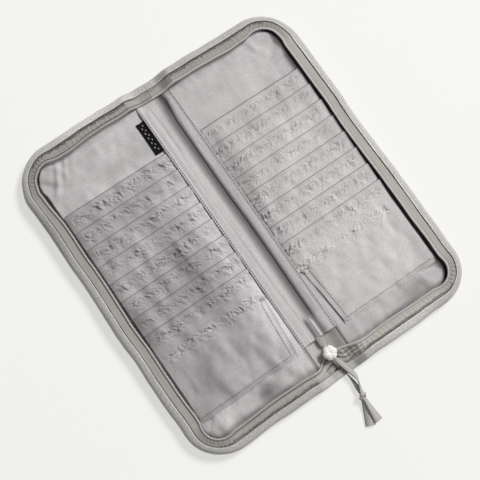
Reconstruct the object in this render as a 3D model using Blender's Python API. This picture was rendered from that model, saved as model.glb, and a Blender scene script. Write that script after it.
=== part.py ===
"""A zip-around travel organiser for passports, lying open and flat with its inside up.

The spine runs along Y at X = 0. The left cover is at -X and the right cover at +X. +Y is the end
where the zipper starts, and -Y is the end where its slider rests. Z = 0 is the table, and the
origin is the middle of the spine's underside. The covers fold up about two lines beside the spine.
"""
import math

import bmesh
import bpy
from mathutils import Vector

MM = 0.001

# Driving dimensions of the open case
OPEN_WIDTH = 296 * MM
CASE_LENGTH = 324 * MM
CORNER_RADIUS = 40 * MM
HINGE_X = 12.2 * MM
HINGE_Z = 0.5 * MM
LAYER_GAP = 0.3 * MM

# Cover layers, measured up from the table
SHELL_THICKNESS = 0.9 * MM
PADDING_THICKNESS = 1.5 * MM
CLOTH_THICKNESS = 0.4 * MM
PADDING_Z = SHELL_THICKNESS + LAYER_GAP
LINING_Z = PADDING_Z + PADDING_THICKNESS + LAYER_GAP
BACKING_Z = LINING_Z + CLOTH_THICKNESS + LAYER_GAP
POCKET_Z = BACKING_Z + CLOTH_THICKNESS + LAYER_GAP
PADDING_INNER_X = 16.5 * MM
LINING_INNER_X = 16 * MM
PADDING_INSET = 6.5 * MM
LINING_INSET = 2.7 * MM

# Rim around three sides of each cover: inset is measured in from the outer edge
MITRE_X = HINGE_X + LAYER_GAP
TAPE_INSETS = (8.5 * MM, 14.4 * MM)
TAPE_HEIGHTS = (10.6 * MM, 11.3 * MM)
COIL_INSET = 16.1 * MM
COIL_HEIGHT = 10.9 * MM
COIL_RADIUS = 1.3 * MM
COIL_SIDES = 8
CORNER_SEGMENTS = 10
STOP_LENGTH = 3 * MM
STOP_SIZE = 2.4 * MM

# Slot pockets: eight on each cover, each one lapped over the mouth of the one before
POCKET_COUNT = 8
POCKET_PITCH = 18.45 * MM
FIRST_MOUTH_Y = 94.5 * MM
POCKET_DEPTH = 40 * MM
POCKET_RISE = (CLOTH_THICKNESS + LAYER_GAP + 0.05 * MM) / POCKET_PITCH
PANEL_INNER_X = 19 * MM
PANEL_OUTER_X = 127.8 * MM
PANEL_BOTTOM_Y = -125.5 * MM
FREE_EDGE_TOP_Y = -64 * MM
FREE_EDGE_TOP_X = 21.5 * MM
FREE_EDGE_BOTTOM_X = 26.5 * MM

# Strip of cloth down the spine, with its two stitched hems on the covers
STRIP_HALF_WIDTH = 18.4 * MM
STRIP_TOP_Y = 143 * MM
STRIP_BOTTOM_Y = -121.5 * MM
HEM_INNER_X = 15.2 * MM
SPINE_LINING_Z = SHELL_THICKNESS + LAYER_GAP
SPINE_LINING_END_Y = 150 * MM
STRIP_Z = SPINE_LINING_Z + CLOTH_THICKNESS + LAYER_GAP
STRIP_THICKNESS = 0.8 * MM

# Woven label, its long edge tucked beside the left hem
LABEL_X = (-27.4 * MM, -18.8 * MM)
LABEL_Y = (98 * MM, 131.5 * MM)

# Zipper parts that lie on the spine
BRIDGE_TAPE_Y = (146 * MM, 153.5 * MM)
BRIDGE_TAPE_Z = (3.9 * MM, 4.7 * MM)
TAIL_Y = (-125.7 * MM, -122.4 * MM)
TAIL_CHAIN_END_Y = -134.8 * MM
TAIL_Z = (3.0 * MM, 4.4 * MM)
TAIL_CHAIN_HALF_WIDTH = 2.2 * MM
TAIL_TAB_HALF_WIDTH = 3.4 * MM
TAIL_TAB_END_Y = -121.9 * MM
TAPE_END_POINTS = ((4.7 * MM, -147.4 * MM), (8.8 * MM, -151.0 * MM))
TAPE_END_WIDTH = 2.6 * MM
TAPE_END_Z = (2.0 * MM, 3.2 * MM)

# Slider, its puller and the ribbon
SLIDER_Y = (-138 * MM, -126 * MM)
SLIDER_HALF_WIDTH = 4 * MM
SLIDER_REAR_HALF_WIDTH = 2.9 * MM
SLIDER_LOWER_Z = (2.0 * MM, 2.7 * MM)
SLIDER_UPPER_Z = (4.7 * MM, 5.5 * MM)
SLIDER_WEDGE_Y = (-137.6 * MM, -135.3 * MM)
SLIDER_WEDGE_HALF_WIDTH = 1.1 * MM
BAIL_Y = -131.5 * MM
BAIL_HALF_LENGTH = 2 * MM
BAIL_HALF_WIDTH = 0.8 * MM
BAIL_TOP_Z = 7.4 * MM
BAIL_THICKNESS = 0.5 * MM
LINK_Z = 6.3 * MM
LINK_WIRE_RADIUS = 0.4 * MM
LINK_HALF_WIDTH = 2.3 * MM
LINK_END_Y = -143.6 * MM
BEAD_Y = -139.6 * MM
BEAD_Z = (7.9 * MM, 11.7 * MM)
BEAD_POINTS = 6
BEAD_RADIUS = 6.2 * MM
BEAD_VALLEY_RADIUS = 4.9 * MM
BEAD_HOLE_RADIUS = 1.1 * MM
RIBBON_START_Y = -144.6 * MM
SLIDER_TRAVEL_AXIS = (0, (SLIDER_Y[0] + SLIDER_Y[1]) / 2, SLIDER_LOWER_Z[0])

# Stations down the ribbon: y, sideways shift, half width, lower and upper height
RIBBON_STATIONS = (
    (RIBBON_START_Y, 0.0, 3.3 * MM, 5.6 * MM, 7.0 * MM),
    (-150 * MM, 0.3 * MM, 3.5 * MM, 5.3 * MM, 6.8 * MM),
    (-160 * MM, 1.0 * MM, 3.7 * MM, 5.0 * MM, 7.2 * MM),
    (-168 * MM, 1.8 * MM, 3.9 * MM, 3.2 * MM, 7.6 * MM),
    (-176 * MM, 1.6 * MM, 3.2 * MM, 1.6 * MM, 7.4 * MM),
    (-182 * MM, 1.0 * MM, 2.6 * MM, 0.8 * MM, 7.6 * MM),
    (-186 * MM, 0.2 * MM, 3.9 * MM, 0.2 * MM, 8.6 * MM),
    (-190 * MM, -0.6 * MM, 2.7 * MM, 0.4 * MM, 7.2 * MM),
    (-200 * MM, -2.4 * MM, 5.6 * MM, 0.2 * MM, 5.2 * MM),
    (-211 * MM, -4.2 * MM, 8.4 * MM, 0.2 * MM, 3.6 * MM),
)

# Colours as linear red, green, blue
SHELL_GREY = (0.33, 0.315, 0.30)
LINING_GREY = (0.56, 0.55, 0.545)
TAPE_GREY = (0.36, 0.335, 0.30)
RIBBON_GREY = (0.30, 0.28, 0.25)
FOAM_WHITE = (0.75, 0.74, 0.70)
METAL_GREY = (0.42, 0.41, 0.39)
BEAD_WHITE = (0.82, 0.79, 0.72)
LABEL_BLACK = (0.012, 0.012, 0.012)


def clear_scene():
    for old in list(bpy.data.objects):
        bpy.data.objects.remove(old, do_unlink=True)


def material(name, colour, roughness, metallic=0.0):
    made = bpy.data.materials.new(name)
    made.use_nodes = True
    shader = made.node_tree.nodes["Principled BSDF"]
    shader.inputs["Base Color"].default_value = (*colour, 1)
    shader.inputs["Roughness"].default_value = roughness
    shader.inputs["Metallic"].default_value = metallic
    return made


def body(name, place):
    """An empty on the joint's axis that carries the pieces of one moving body."""
    empty = bpy.data.objects.new(name, None)
    empty.location = place
    bpy.context.collection.objects.link(empty)
    bpy.context.view_layer.update()
    return empty


def place_mesh(name, shape, colour, roughness, carrier=None, metallic=0.0, smooth=False):
    """Turn a closed bmesh, drawn in place, into an object carried by an empty."""
    bmesh.ops.recalc_face_normals(shape, faces=shape.faces)
    mesh = bpy.data.meshes.new(name)
    shape.to_mesh(mesh)
    shape.free()
    if smooth:
        mesh.shade_smooth()
        mesh.set_sharp_from_angle(angle=math.radians(40))
    made = bpy.data.objects.new(name, mesh)
    made.data.materials.append(material(name, colour, roughness, metallic))
    bpy.context.collection.objects.link(made)
    if carrier:
        made.parent = carrier
        made.matrix_parent_inverse = carrier.matrix_world.inverted()
    return made


def loft(rings, closed_end=True):
    """Join equal rings of points by quads, and cap the first and last ring."""
    shape = bmesh.new()
    rows = [[shape.verts.new(point) for point in ring] for ring in rings]
    count = len(rings[0])
    for lower, upper in zip(rows, rows[1:]):
        for i in range(count):
            j = (i + 1) % count
            shape.faces.new((lower[i], lower[j], upper[j], upper[i]))
    if closed_end:
        shape.faces.new(rows[0][::-1])
        shape.faces.new(rows[-1])
    else:
        for i in range(count):
            j = (i + 1) % count
            shape.faces.new((rows[-1][i], rows[-1][j], rows[0][j], rows[0][i]))
    return shape


def prism(outline, low, high):
    """A flat plate: its outline in X and Y, between two heights."""
    return loft([[(x, y, z) for x, y in outline] for z in (low, high)])


def block(x_range, y_range, z_range):
    (x0, x1), (y0, y1) = x_range, y_range
    return prism(((x0, y0), (x1, y0), (x1, y1), (x0, y1)), *z_range)


def cover_edge(side, inset, inner_x):
    """Points along a cover's free edge, from the spine at +Y round to the spine at -Y."""
    reach_x = OPEN_WIDTH / 2 - inset
    reach_y = CASE_LENGTH / 2 - inset
    radius = CORNER_RADIUS - inset
    points = [(inner_x, reach_y)]
    for centre_y, first_angle in ((reach_y - radius, 90), (radius - reach_y, 0)):
        for i in range(CORNER_SEGMENTS + 1):
            angle = math.radians(first_angle - 90 * i / CORNER_SEGMENTS)
            points.append((reach_x - radius + radius * math.cos(angle),
                           centre_y + radius * math.sin(angle)))
    points.append((inner_x, -reach_y))
    return [(side * x, y) for x, y in points]


def cover_plate(side, inset, inner_x, low, high):
    return prism(cover_edge(side, inset, inner_x), low, high)


def rim_sweep(side, profile, spine_clearance=0.0):
    """Carry a closed profile of (inset, height) points round a cover's three free sides.

    Both ends are cut at 45 degrees, so that the covers fold up past the spine's ends.
    """
    edges = [cover_edge(side, inset, MITRE_X + height + spine_clearance) for inset, height in profile]
    return loft(list(zip(*[[(x, y, height) for x, y in edge]
                           for edge, (inset, height) in zip(edges, profile)])))


def join_solids(name, solids, colour, roughness, carrier=None):
    """One body made of several overlapping closed shapes."""
    base = place_mesh(name, solids[0], colour, roughness, carrier)
    for number, solid in enumerate(solids[1:]):
        extra = place_mesh(f"{name}_joined_{number}", solid, colour, roughness, carrier)
        extra.hide_render = True
        extra.display_type = "WIRE"
        union = base.modifiers.new(f"Join {number}", "BOOLEAN")
        union.operation = "UNION"
        union.object = extra
    return base


def shell_wall_profile():
    """The rolled wall of the outer shell: out and up from the table, then back in to the seam."""
    outside = ((8, 0.1), (4.2, 0.25), (1.8, 1.4), (0.4, 3.4), (0, 5.6),
               (0.6, 7.9), (2.4, 9.9), (5.0, 11.1), (8.2, 11.5))
    inside = ((8.2, 10.6), (5.4, 10.25), (3.1, 9.2), (1.5, 7.5), (0.9, 5.6),
              (1.3, 3.7), (2.5, 2.0), (4.6, 1.0), (8, 0.8))
    return [(inset * MM, height * MM) for inset, height in outside + inside]


def make_shell(side, name, carrier):
    wall = rim_sweep(side, shell_wall_profile())
    floor = cover_plate(side, 7 * MM, MITRE_X + SHELL_THICKNESS, 0, SHELL_THICKNESS)
    join_solids(name, [wall, floor], SHELL_GREY, 0.8, carrier)


def make_zipper_rim(side, prefix, carrier):
    """The zipper tape sewn to the shell's rim, its coil, and the stop at the coil's top end."""
    (outer, inner), (low, high) = TAPE_INSETS, TAPE_HEIGHTS
    tape = rim_sweep(side, ((outer, low), (outer, high), (inner, high), (inner, low)))
    place_mesh(f"{prefix}_zipper_tape", tape, TAPE_GREY, 0.85, carrier)

    coil_profile = [(COIL_INSET + COIL_RADIUS * math.cos(a), COIL_HEIGHT + COIL_RADIUS * math.sin(a))
                    for a in (2 * math.pi * (i + 0.5) / COIL_SIDES for i in range(COIL_SIDES))]
    stop_room = STOP_LENGTH + STOP_SIZE / 2 + COIL_RADIUS + LAYER_GAP
    coil = rim_sweep(side, coil_profile, spine_clearance=stop_room)
    place_mesh(f"{prefix}_zipper_coil", coil, TAPE_GREY, 0.6, carrier, smooth=True)

    stop_x = MITRE_X + COIL_HEIGHT + STOP_SIZE / 2
    stop_y = CASE_LENGTH / 2 - COIL_INSET
    stop = block(sorted((side * stop_x, side * (stop_x + STOP_LENGTH))),
                 (stop_y - STOP_SIZE / 2, stop_y + STOP_SIZE / 2),
                 (COIL_HEIGHT - STOP_SIZE / 2, COIL_HEIGHT + STOP_SIZE / 2))
    place_mesh(f"{prefix}_top_stop", stop, METAL_GREY, 0.35, carrier, metallic=1.0)


def pocket_height(y, mouth_y):
    """Underside of a pocket's cloth: highest at its mouth, and down on the backing below it."""
    return POCKET_Z + POCKET_RISE * max(0.0, y - (mouth_y - POCKET_DEPTH))


def sheet_from_rows(side, mouth_y, rows):
    """A pocket's cloth from rows of (y, inner x, outer x)."""
    rings = []
    for y, inner_x, outer_x in rows:
        low = pocket_height(y, mouth_y)
        high = low + CLOTH_THICKNESS
        rings.append([(side * x, y, z) for x, z in
                      ((inner_x, low), (outer_x, low), (outer_x, high), (inner_x, high))])
    return loft(rings)


def make_pockets(side, prefix, carrier):
    backing = block(sorted((side * PANEL_INNER_X, side * PANEL_OUTER_X)),
                    (FREE_EDGE_TOP_Y, FIRST_MOUTH_Y + 2 * MM),
                    (BACKING_Z, BACKING_Z + CLOTH_THICKNESS))
    place_mesh(f"{prefix}_pocket_backing", backing, LINING_GREY, 0.6, carrier)
    for number in range(1, POCKET_COUNT + 1):
        mouth_y = FIRST_MOUTH_Y - POCKET_PITCH * (number - 1)
        rows = [(mouth_y, PANEL_INNER_X, PANEL_OUTER_X),
                (mouth_y - POCKET_DEPTH, PANEL_INNER_X, PANEL_OUTER_X)]
        if number == POCKET_COUNT:
            rows = [(mouth_y, PANEL_INNER_X, PANEL_OUTER_X),
                    (FREE_EDGE_TOP_Y, PANEL_INNER_X, PANEL_OUTER_X),
                    (FREE_EDGE_TOP_Y - 1 * MM, FREE_EDGE_TOP_X, PANEL_OUTER_X),
                    (mouth_y - POCKET_DEPTH, FREE_EDGE_TOP_X + 1 * MM, PANEL_OUTER_X),
                    (PANEL_BOTTOM_Y, FREE_EDGE_BOTTOM_X, PANEL_OUTER_X)]
        sheet = sheet_from_rows(side, mouth_y, rows)
        place_mesh(f"{prefix}_pocket_{number}", sheet, LINING_GREY, 0.6, carrier)


def make_cover(side, prefix, carrier):
    """One padded half of the case, side -1 for the left and +1 for the right."""
    make_shell(side, f"{prefix}_shell", carrier)
    padding = cover_plate(side, PADDING_INSET, PADDING_INNER_X, PADDING_Z, PADDING_Z + PADDING_THICKNESS)
    place_mesh(f"{prefix}_padding", padding, FOAM_WHITE, 0.9, carrier)
    lining = cover_plate(side, LINING_INSET, LINING_INNER_X, LINING_Z, LINING_Z + CLOTH_THICKNESS)
    place_mesh(f"{prefix}_lining", lining, LINING_GREY, 0.6, carrier)
    make_pockets(side, prefix, carrier)
    hem = block(sorted((side * HEM_INNER_X, side * STRIP_HALF_WIDTH)), (STRIP_BOTTOM_Y, STRIP_TOP_Y),
                (BACKING_Z, BACKING_Z + STRIP_THICKNESS))
    place_mesh(f"{prefix}_strip_hem", hem, LINING_GREY, 0.6, carrier)
    make_zipper_rim(side, prefix, carrier)


def make_label(carrier):
    label = block(LABEL_X, LABEL_Y, (BACKING_Z, BACKING_Z + CLOTH_THICKNESS))
    place_mesh("woven_label", label, LABEL_BLACK, 0.7, carrier)


def spine_band(outline):
    """An outline in Y and Z carried across the spine, its sides cut back at 45 degrees."""
    return loft([[(sign * (HINGE_X - z), y, z) for y, z in outline] for sign in (-1, 1)])


def make_spine_shell():
    """The shell's middle band, with a low lip turned up at both ends."""
    lip_outside = ((8, 0), (2.6, 0.2), (0.4, 1.1), (0, 2.0), (0.5, 3.0), (2.6, 3.7), (8, 3.8))
    lip_inside = ((8, 3.0), (3.0, 2.9), (1.3, 2.5), (1.0, 2.0), (1.3, 1.5), (3.0, 0.95), (8, 0.9))
    half = CASE_LENGTH / 2
    top_lip = [(half - inset * MM, height * MM) for inset, height in lip_outside + lip_inside]
    bottom_lip = [(-y, z) for y, z in reversed(top_lip)]
    place_mesh("spine_shell", spine_band(top_lip + bottom_lip), SHELL_GREY, 0.8)


def make_spine_cloth():
    lining_top = SPINE_LINING_Z + CLOTH_THICKNESS
    lining = spine_band(((-SPINE_LINING_END_Y, SPINE_LINING_Z), (SPINE_LINING_END_Y, SPINE_LINING_Z),
                         (SPINE_LINING_END_Y, lining_top), (-SPINE_LINING_END_Y, lining_top)))
    place_mesh("spine_lining", lining, LINING_GREY, 0.7)
    strip_top = STRIP_Z + STRIP_THICKNESS
    strip = spine_band(((STRIP_BOTTOM_Y, STRIP_Z), (STRIP_TOP_Y, STRIP_Z),
                        (STRIP_TOP_Y, strip_top), (STRIP_BOTTOM_Y, strip_top)))
    place_mesh("spine_strip", strip, LINING_GREY, 0.6)


def make_spine_zipper():
    """The zipper's parts that lie on the spine: its closed tail, and its tapes turning to the rims."""
    (near, far), (low, high) = BRIDGE_TAPE_Y, BRIDGE_TAPE_Z
    bridge = spine_band(((near, low), (far, low), (far, high), (near, high)))
    place_mesh("top_tape_bridge", bridge, TAPE_GREY, 0.85)

    chain = block((-TAIL_CHAIN_HALF_WIDTH, TAIL_CHAIN_HALF_WIDTH), (TAIL_CHAIN_END_Y, TAIL_Y[0]), TAIL_Z)
    place_mesh("zipper_tail", chain, TAPE_GREY, 0.6)
    tab = block((-TAIL_TAB_HALF_WIDTH, TAIL_TAB_HALF_WIDTH), (TAIL_Y[0] + LAYER_GAP, TAIL_TAB_END_Y), TAIL_Z)
    place_mesh("zipper_tail_tab", tab, TAPE_GREY, 0.85)

    (near_x, near_y), (far_x, far_y) = TAPE_END_POINTS
    for side, prefix in ((-1, "left"), (1, "right")):
        outline = ((side * near_x, near_y), (side * far_x, far_y),
                   (side * far_x, far_y - TAPE_END_WIDTH), (side * near_x, near_y - TAPE_END_WIDTH))
        place_mesh(f"{prefix}_tape_end", prism(outline, *TAPE_END_Z), TAPE_GREY, 0.85)


def make_slider(carrier):
    """The slider: two plates joined by the wedge that parts the coils, and the bail on top."""
    (front, rear), wide, narrow = SLIDER_Y, SLIDER_HALF_WIDTH, SLIDER_REAR_HALF_WIDTH
    outline = ((-wide + 1 * MM, front), (wide - 1 * MM, front), (wide, front + 3 * MM),
               (narrow, rear), (-narrow, rear), (-wide, front + 3 * MM))
    (wedge_front, wedge_rear), wedge = SLIDER_WEDGE_Y, SLIDER_WEDGE_HALF_WIDTH
    wedge_outline = ((-wedge, wedge_front), (wedge, wedge_front), (0.3 * MM, wedge_rear), (-0.3 * MM, wedge_rear))
    lower = prism(outline, *SLIDER_LOWER_Z)
    post = prism(wedge_outline, SLIDER_LOWER_Z[0] + 0.1 * MM, SLIDER_UPPER_Z[1] - 0.1 * MM)
    upper = prism(outline, *SLIDER_UPPER_Z)
    join_solids("slider_body", [post, lower, upper], METAL_GREY, 0.35, carrier)

    foot_z = SLIDER_UPPER_Z[1] + 0.02 * MM
    reach, wall = BAIL_HALF_LENGTH, BAIL_THICKNESS
    outline = ((-reach, foot_z), (-reach, BAIL_TOP_Z - 0.4 * MM), (-reach + 0.6 * MM, BAIL_TOP_Z),
               (reach - 0.6 * MM, BAIL_TOP_Z), (reach, BAIL_TOP_Z - 0.4 * MM), (reach, foot_z),
               (reach - wall, foot_z), (reach - wall, BAIL_TOP_Z - wall),
               (-reach + wall, BAIL_TOP_Z - wall), (-reach + wall, foot_z))
    bail = loft([[(x, BAIL_Y + y, z) for y, z in outline] for x in (-BAIL_HALF_WIDTH, BAIL_HALF_WIDTH)])
    place_mesh("slider_bail", bail, METAL_GREY, 0.35, carrier, metallic=1.0)


def link_path():
    """Corners of the puller's wire link, lying flat: its cross bar is under the bail."""
    half, bend = LINK_HALF_WIDTH, 0.8 * MM
    return ((-half + bend, BAIL_Y), (half - bend, BAIL_Y), (half, BAIL_Y - bend), (half, LINK_END_Y + bend),
            (half - bend, LINK_END_Y), (-half + bend, LINK_END_Y), (-half, LINK_END_Y + bend), (-half, BAIL_Y - bend))


def make_link(carrier):
    corners = [Vector((x, y, LINK_Z)) for x, y in link_path()]
    count = len(corners)
    rings = []
    for i, corner in enumerate(corners):
        before = (corner - corners[i - 1]).normalized()
        after = (corners[(i + 1) % count] - corner).normalized()
        outward = (before - after).normalized()
        widen = 1 / max(0.5, math.cos(before.angle(after) / 2))
        rings.append([corner + outward * (LINK_WIRE_RADIUS * widen * math.cos(a))
                      + Vector((0, 0, LINK_WIRE_RADIUS * math.sin(a)))
                      for a in (2 * math.pi * j / 6 for j in range(6))])
    place_mesh("puller_link", loft(rings, closed_end=False), METAL_GREY, 0.35, carrier, metallic=1.0)


def make_bead(carrier):
    """A small carved flower bead with a hole through its middle."""
    low, high = BEAD_Z
    middle = (low + high) / 2

    def ring(scale, z, radius=None):
        points = []
        for i in range(4 * BEAD_POINTS):
            angle = 2 * math.pi * i / (4 * BEAD_POINTS)
            wave = 0.5 + 0.5 * math.cos(BEAD_POINTS * angle)
            reach = radius or scale * (BEAD_VALLEY_RADIUS + (BEAD_RADIUS - BEAD_VALLEY_RADIUS) * wave)
            points.append((reach * math.cos(angle), BEAD_Y + reach * math.sin(angle), z))
        return points

    rings = [ring(1, low, BEAD_HOLE_RADIUS), ring(0.8, low), ring(1, middle), ring(0.72, high),
             ring(1, high - 0.5 * MM, BEAD_HOLE_RADIUS)]
    place_mesh("flower_bead", loft(rings, closed_end=False), BEAD_WHITE, 0.4, carrier, smooth=True)


def make_ribbon(carrier):
    """The ribbon: doubled through the link, knotted, and flared at its two cut ends."""
    rings = []
    for y, shift, half_width, low, high in RIBBON_STATIONS:
        middle, half_height = (low + high) / 2, (high - low) / 2
        rings.append([(shift + half_width * math.cos(a), y, middle + half_height * math.sin(a))
                      for a in (2 * math.pi * (i + 0.5) / 10 for i in range(10))])
    place_mesh("pull_ribbon", loft(rings), RIBBON_GREY, 0.7, carrier, smooth=True)


def main():
    clear_scene()
    make_spine_shell()
    make_spine_cloth()
    make_spine_zipper()
    left = body("left_cover_hinge", (-HINGE_X, 0, HINGE_Z))
    right = body("right_cover_hinge", (HINGE_X, 0, HINGE_Z))
    make_cover(-1, "left", left)
    make_cover(1, "right", right)
    make_label(left)
    make_slider(body("slider_rail", SLIDER_TRAVEL_AXIS))
    puller = body("puller_pivot", (0, BAIL_Y, LINK_Z))
    make_link(puller)
    make_bead(puller)
    make_ribbon(body("ribbon_pivot", (0, LINK_END_Y, LINK_Z)))


main()
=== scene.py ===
"""The looks of a zip-around passport organiser, lying open on a pale floor.

Lengths are in millimetres, apart from the lamp's place and size, which are in metres. X runs across
the open case, Y runs up the spine towards the end where the zipper starts, and Z is up from the
floor. Both covers are made by the same functions: side is -1 for the left cover and 1 for the
right one.
"""
import math
import bmesh
import bpy
import numpy as np
from mathutils import Matrix, Vector


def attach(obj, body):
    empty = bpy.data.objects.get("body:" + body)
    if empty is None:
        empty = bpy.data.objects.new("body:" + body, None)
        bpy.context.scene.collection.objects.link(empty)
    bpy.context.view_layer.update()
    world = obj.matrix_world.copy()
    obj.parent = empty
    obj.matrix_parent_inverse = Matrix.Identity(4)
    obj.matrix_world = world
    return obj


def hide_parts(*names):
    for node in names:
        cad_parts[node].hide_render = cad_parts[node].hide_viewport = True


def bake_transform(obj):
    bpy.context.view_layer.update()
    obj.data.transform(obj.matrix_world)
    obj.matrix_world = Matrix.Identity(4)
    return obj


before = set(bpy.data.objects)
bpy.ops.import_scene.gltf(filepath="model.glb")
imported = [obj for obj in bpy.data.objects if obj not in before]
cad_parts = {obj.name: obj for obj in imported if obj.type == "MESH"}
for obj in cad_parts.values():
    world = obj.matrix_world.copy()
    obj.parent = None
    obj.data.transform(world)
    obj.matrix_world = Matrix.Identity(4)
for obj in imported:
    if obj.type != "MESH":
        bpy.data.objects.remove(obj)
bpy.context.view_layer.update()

MM = 0.001
SIDES = {"left": -1, "right": 1}

# Outline of the open case
HALF_WIDTH = 148
HALF_LENGTH = 162
TOP_RADIUS = 42
LOW_RADIUS = 38

# Rim: how high it stands over the spine as a share of its height on the covers
SPINE_RIM_SHARE = 0.3
RIM_RISE_X = (10, 26)
PATH_STEP = 0.9
CORNER_SQUEEZE = 0.22

# Places where the zipper wanders off the rim's even width: x, y, radius and how far inwards
ZIPPER_SHIFTS = {
    -1: ((-90, 150, 20, 2.8), (-137, 116, 20, -2.2), (-60, -150, 22, 1.2)),
    1: ((84, 150, 18, 2.2), (60, -150, 20, 1.6), (136, -112, 20, -1.0)),
}
# Painted light and shade on the rim: x, y, radius and how much lighter it is painted
RIM_PAINTED_LIGHT = {
    -1: ((-69, 160, 34, 0.34), (-146, 92, 36, -0.26)),
    1: ((71, -160, 30, 0.26), (146, 0, 60, 0.09)),
}
# How strong the painted highlight along the shell's folded seam is, on each cover
SEAM_GLINT = {-1: 0.35, 1: 1.9}

# Outer shell, as inset from the edge and height, from the underside round to the folded seam
SHELL_PROFILE = (
    (14.0, 0.22), (9.0, 0.20), (5.0, 0.45), (2.6, 1.1), (0.9, 2.7), (0.15, 4.9), (0.2, 7.2),
    (0.9, 9.2), (2.2, 10.5), (4.1, 11.15), (6.0, 11.45), (7.0, 11.45), (7.45, 11.15),
    (7.3, 10.8), (6.6, 10.65), (5.0, 10.6),
)
SHELL_PROFILE_POINTS = 44
SHELL_CLOTH = 0.3
UNDERSIDE_INSET = 13
UNDERSIDE_STEP = 2.5
UNDERSIDE_Z = 0.3
UNDERSIDE_CLOTH = 0.09

# Zipper
TAPE_OUTER_INSET = 6.4
TAPE_INNER_INSET = 15.2
TAPE_Z = 10.5
TAPE_THICKNESS = 0.45
SEAM_GROOVE = (1.1, 1.6)
SEAM_GROOVE_DEPTH = 1.5
COIL_GROOVE_DEPTH = {-1: 1.6, 1: 0.15}
COIL_GROOVE_SHADE = {-1: 0.4, 1: 0.08}
TAPE_RIB_PITCH = 1.45
PUCKER_PITCH = 4.6
# Shares of the tape's width between which it dips beside the coil
BESIDE_COIL = (0.87, 0.93)
# Distances from the spine between which the top and bottom ends give way to the rounded corners
TAPE_END_X = (96, 116)
# Painted light: how much lighter the tape is painted along the cover's side and along its lower end
TAPE_PAINTED_LIGHT = {-1: (0.0, 0.12), 1: (0.12, 0.3)}
COIL_INSET = 16.2
COIL_Z = 10.7
TOOTH_PITCH = 1.45
# Half length across the tape, half width and half height of a tooth
TOOTH_SIZE = (1.35, 0.5, 0.75)
CORD_RADIUS = 0.62
CORD_DROP = 0.35
SLIDER_END_INSET = 23.2
SLIDER_PULL_X = {"left": (3, 21), "right": (3, 34)}

# Lining
LINING_Z = 3.55
LINING_INNER_X = 17.3
LINING_OUTER_INSET = 11.0
LINING_STEP = 0.95
LINING_THICKNESS = 0.35
BACKING_THICKNESS = 0.3
# Folds across the top outer corner: their slant in degrees, then for each its place, width and
# height, and where along its own length it starts and ends
FOLD_SLANT = 30.7
CORNER_FOLDS = {
    -1: ((163.6, 2.7, 1.6, -76, -34), (156.6, 2.3, 1.2, -78, -48), (149.5, 3.0, 0.5, -76, -52)),
    1: ((160.0, 3.2, 0.7, -76, -44),),
}
GUTTER_INSETS = (17.3, 18.5)
SIDE_GUTTER_X = (HALF_WIDTH - 30, HALF_WIDTH - 21)
LOW_GUTTER_Y = (-128, -140)
GUTTER_DEPTH = 2.6
GUTTER_FLOOR_Z = 1.1
GUTTER_SHADE = {-1: 0.3, 1: 0.11}
SLIT_SHADE = {-1: 0.4, 1: 0.93}

# Padding under the lining
PADDING_INSET = 24
PADDING_INNER_X = 18
PADDING_TOP_Z = 2.2
PADDING_THICKNESS = 1.1
PADDING_STEP = 3.0

# Slot pockets
POCKET_COUNT = 8
POCKET_PITCH = 18.45
FIRST_MOUTH_Y = 94.5
POCKET_DEPTH = 40
POCKET_TOP_Z = 5.9
FIRST_POCKET_TOP_Z = 5.0
POCKET_DROP = 0.85
POCKET_CLOTH = 0.38
POCKET_STEP = 0.46
# How far a pocket sinks where it hides under the next, at its sewn sides and under the strip's hem
HIDDEN_DIP = 0.8
SIDE_DIP = 2.6
UNDER_HEM_DIP = 1.3
# How much thicker the mouth's hem is, and how dark the next mouth's painted shadow is
HEM_CLOTH = 0.4
MOUTH_SHADOW = 0.62
PANEL_INNER_X = 15.6
PANEL_OUTER_X = {-1: 130.9, 1: 130.2}
PANEL_STAGGER = {-1: 0.2, 1: 0.9}
PANEL_BOTTOM_Y = -125.5
FREE_EDGE_TOP_Y = -64
FREE_EDGE_TOP_X = 21.5
FREE_EDGE_BOTTOM_X = 26.5
SLIT_TOP_Y = (-63, -66)
MOUTH_HEM = (0.9, 1.7)
HEM_ROWS = 9
HEM_ROWS_END = 2.4
HIDDEN_ROWS = 8
SEAM_BELOW_MOUTH = 7.0
SECOND_SEAM_Y = -60
CRINKLE = {-1: 1.45, 1: 0.95}
# Sizes of pucker beside a seam: height, width, length and which random pattern
CRINKLE_SIZES = ((0.3, 1.05, 1.1, 0), (0.46, 2.1, 1.9, 1), (0.44, 4.2, 4.4, 4))
SPINE_CRINKLE = {-1: 0.0, 1: 1.0}
PANEL_WAVE = {-1: 1.25, 1: 0.8}
# Sizes of wave: height, width, slant (the y that shifts it by one width), length and random pattern
PANEL_WAVE_SIZES = ((0.8, 23, 90, 31, 130), (0.75, 9, -60, 19, 140), (0.4, 6, 30, 9, 150))
PANEL_EDGE_SLOPE = {-1: 2.6, 1: 1.0}
# How strong the painted lighter and darker patches on the satin are, on each cover
PATCH_PAINTED_LIGHT = {-1: 0.13, 1: 0.05}
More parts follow.
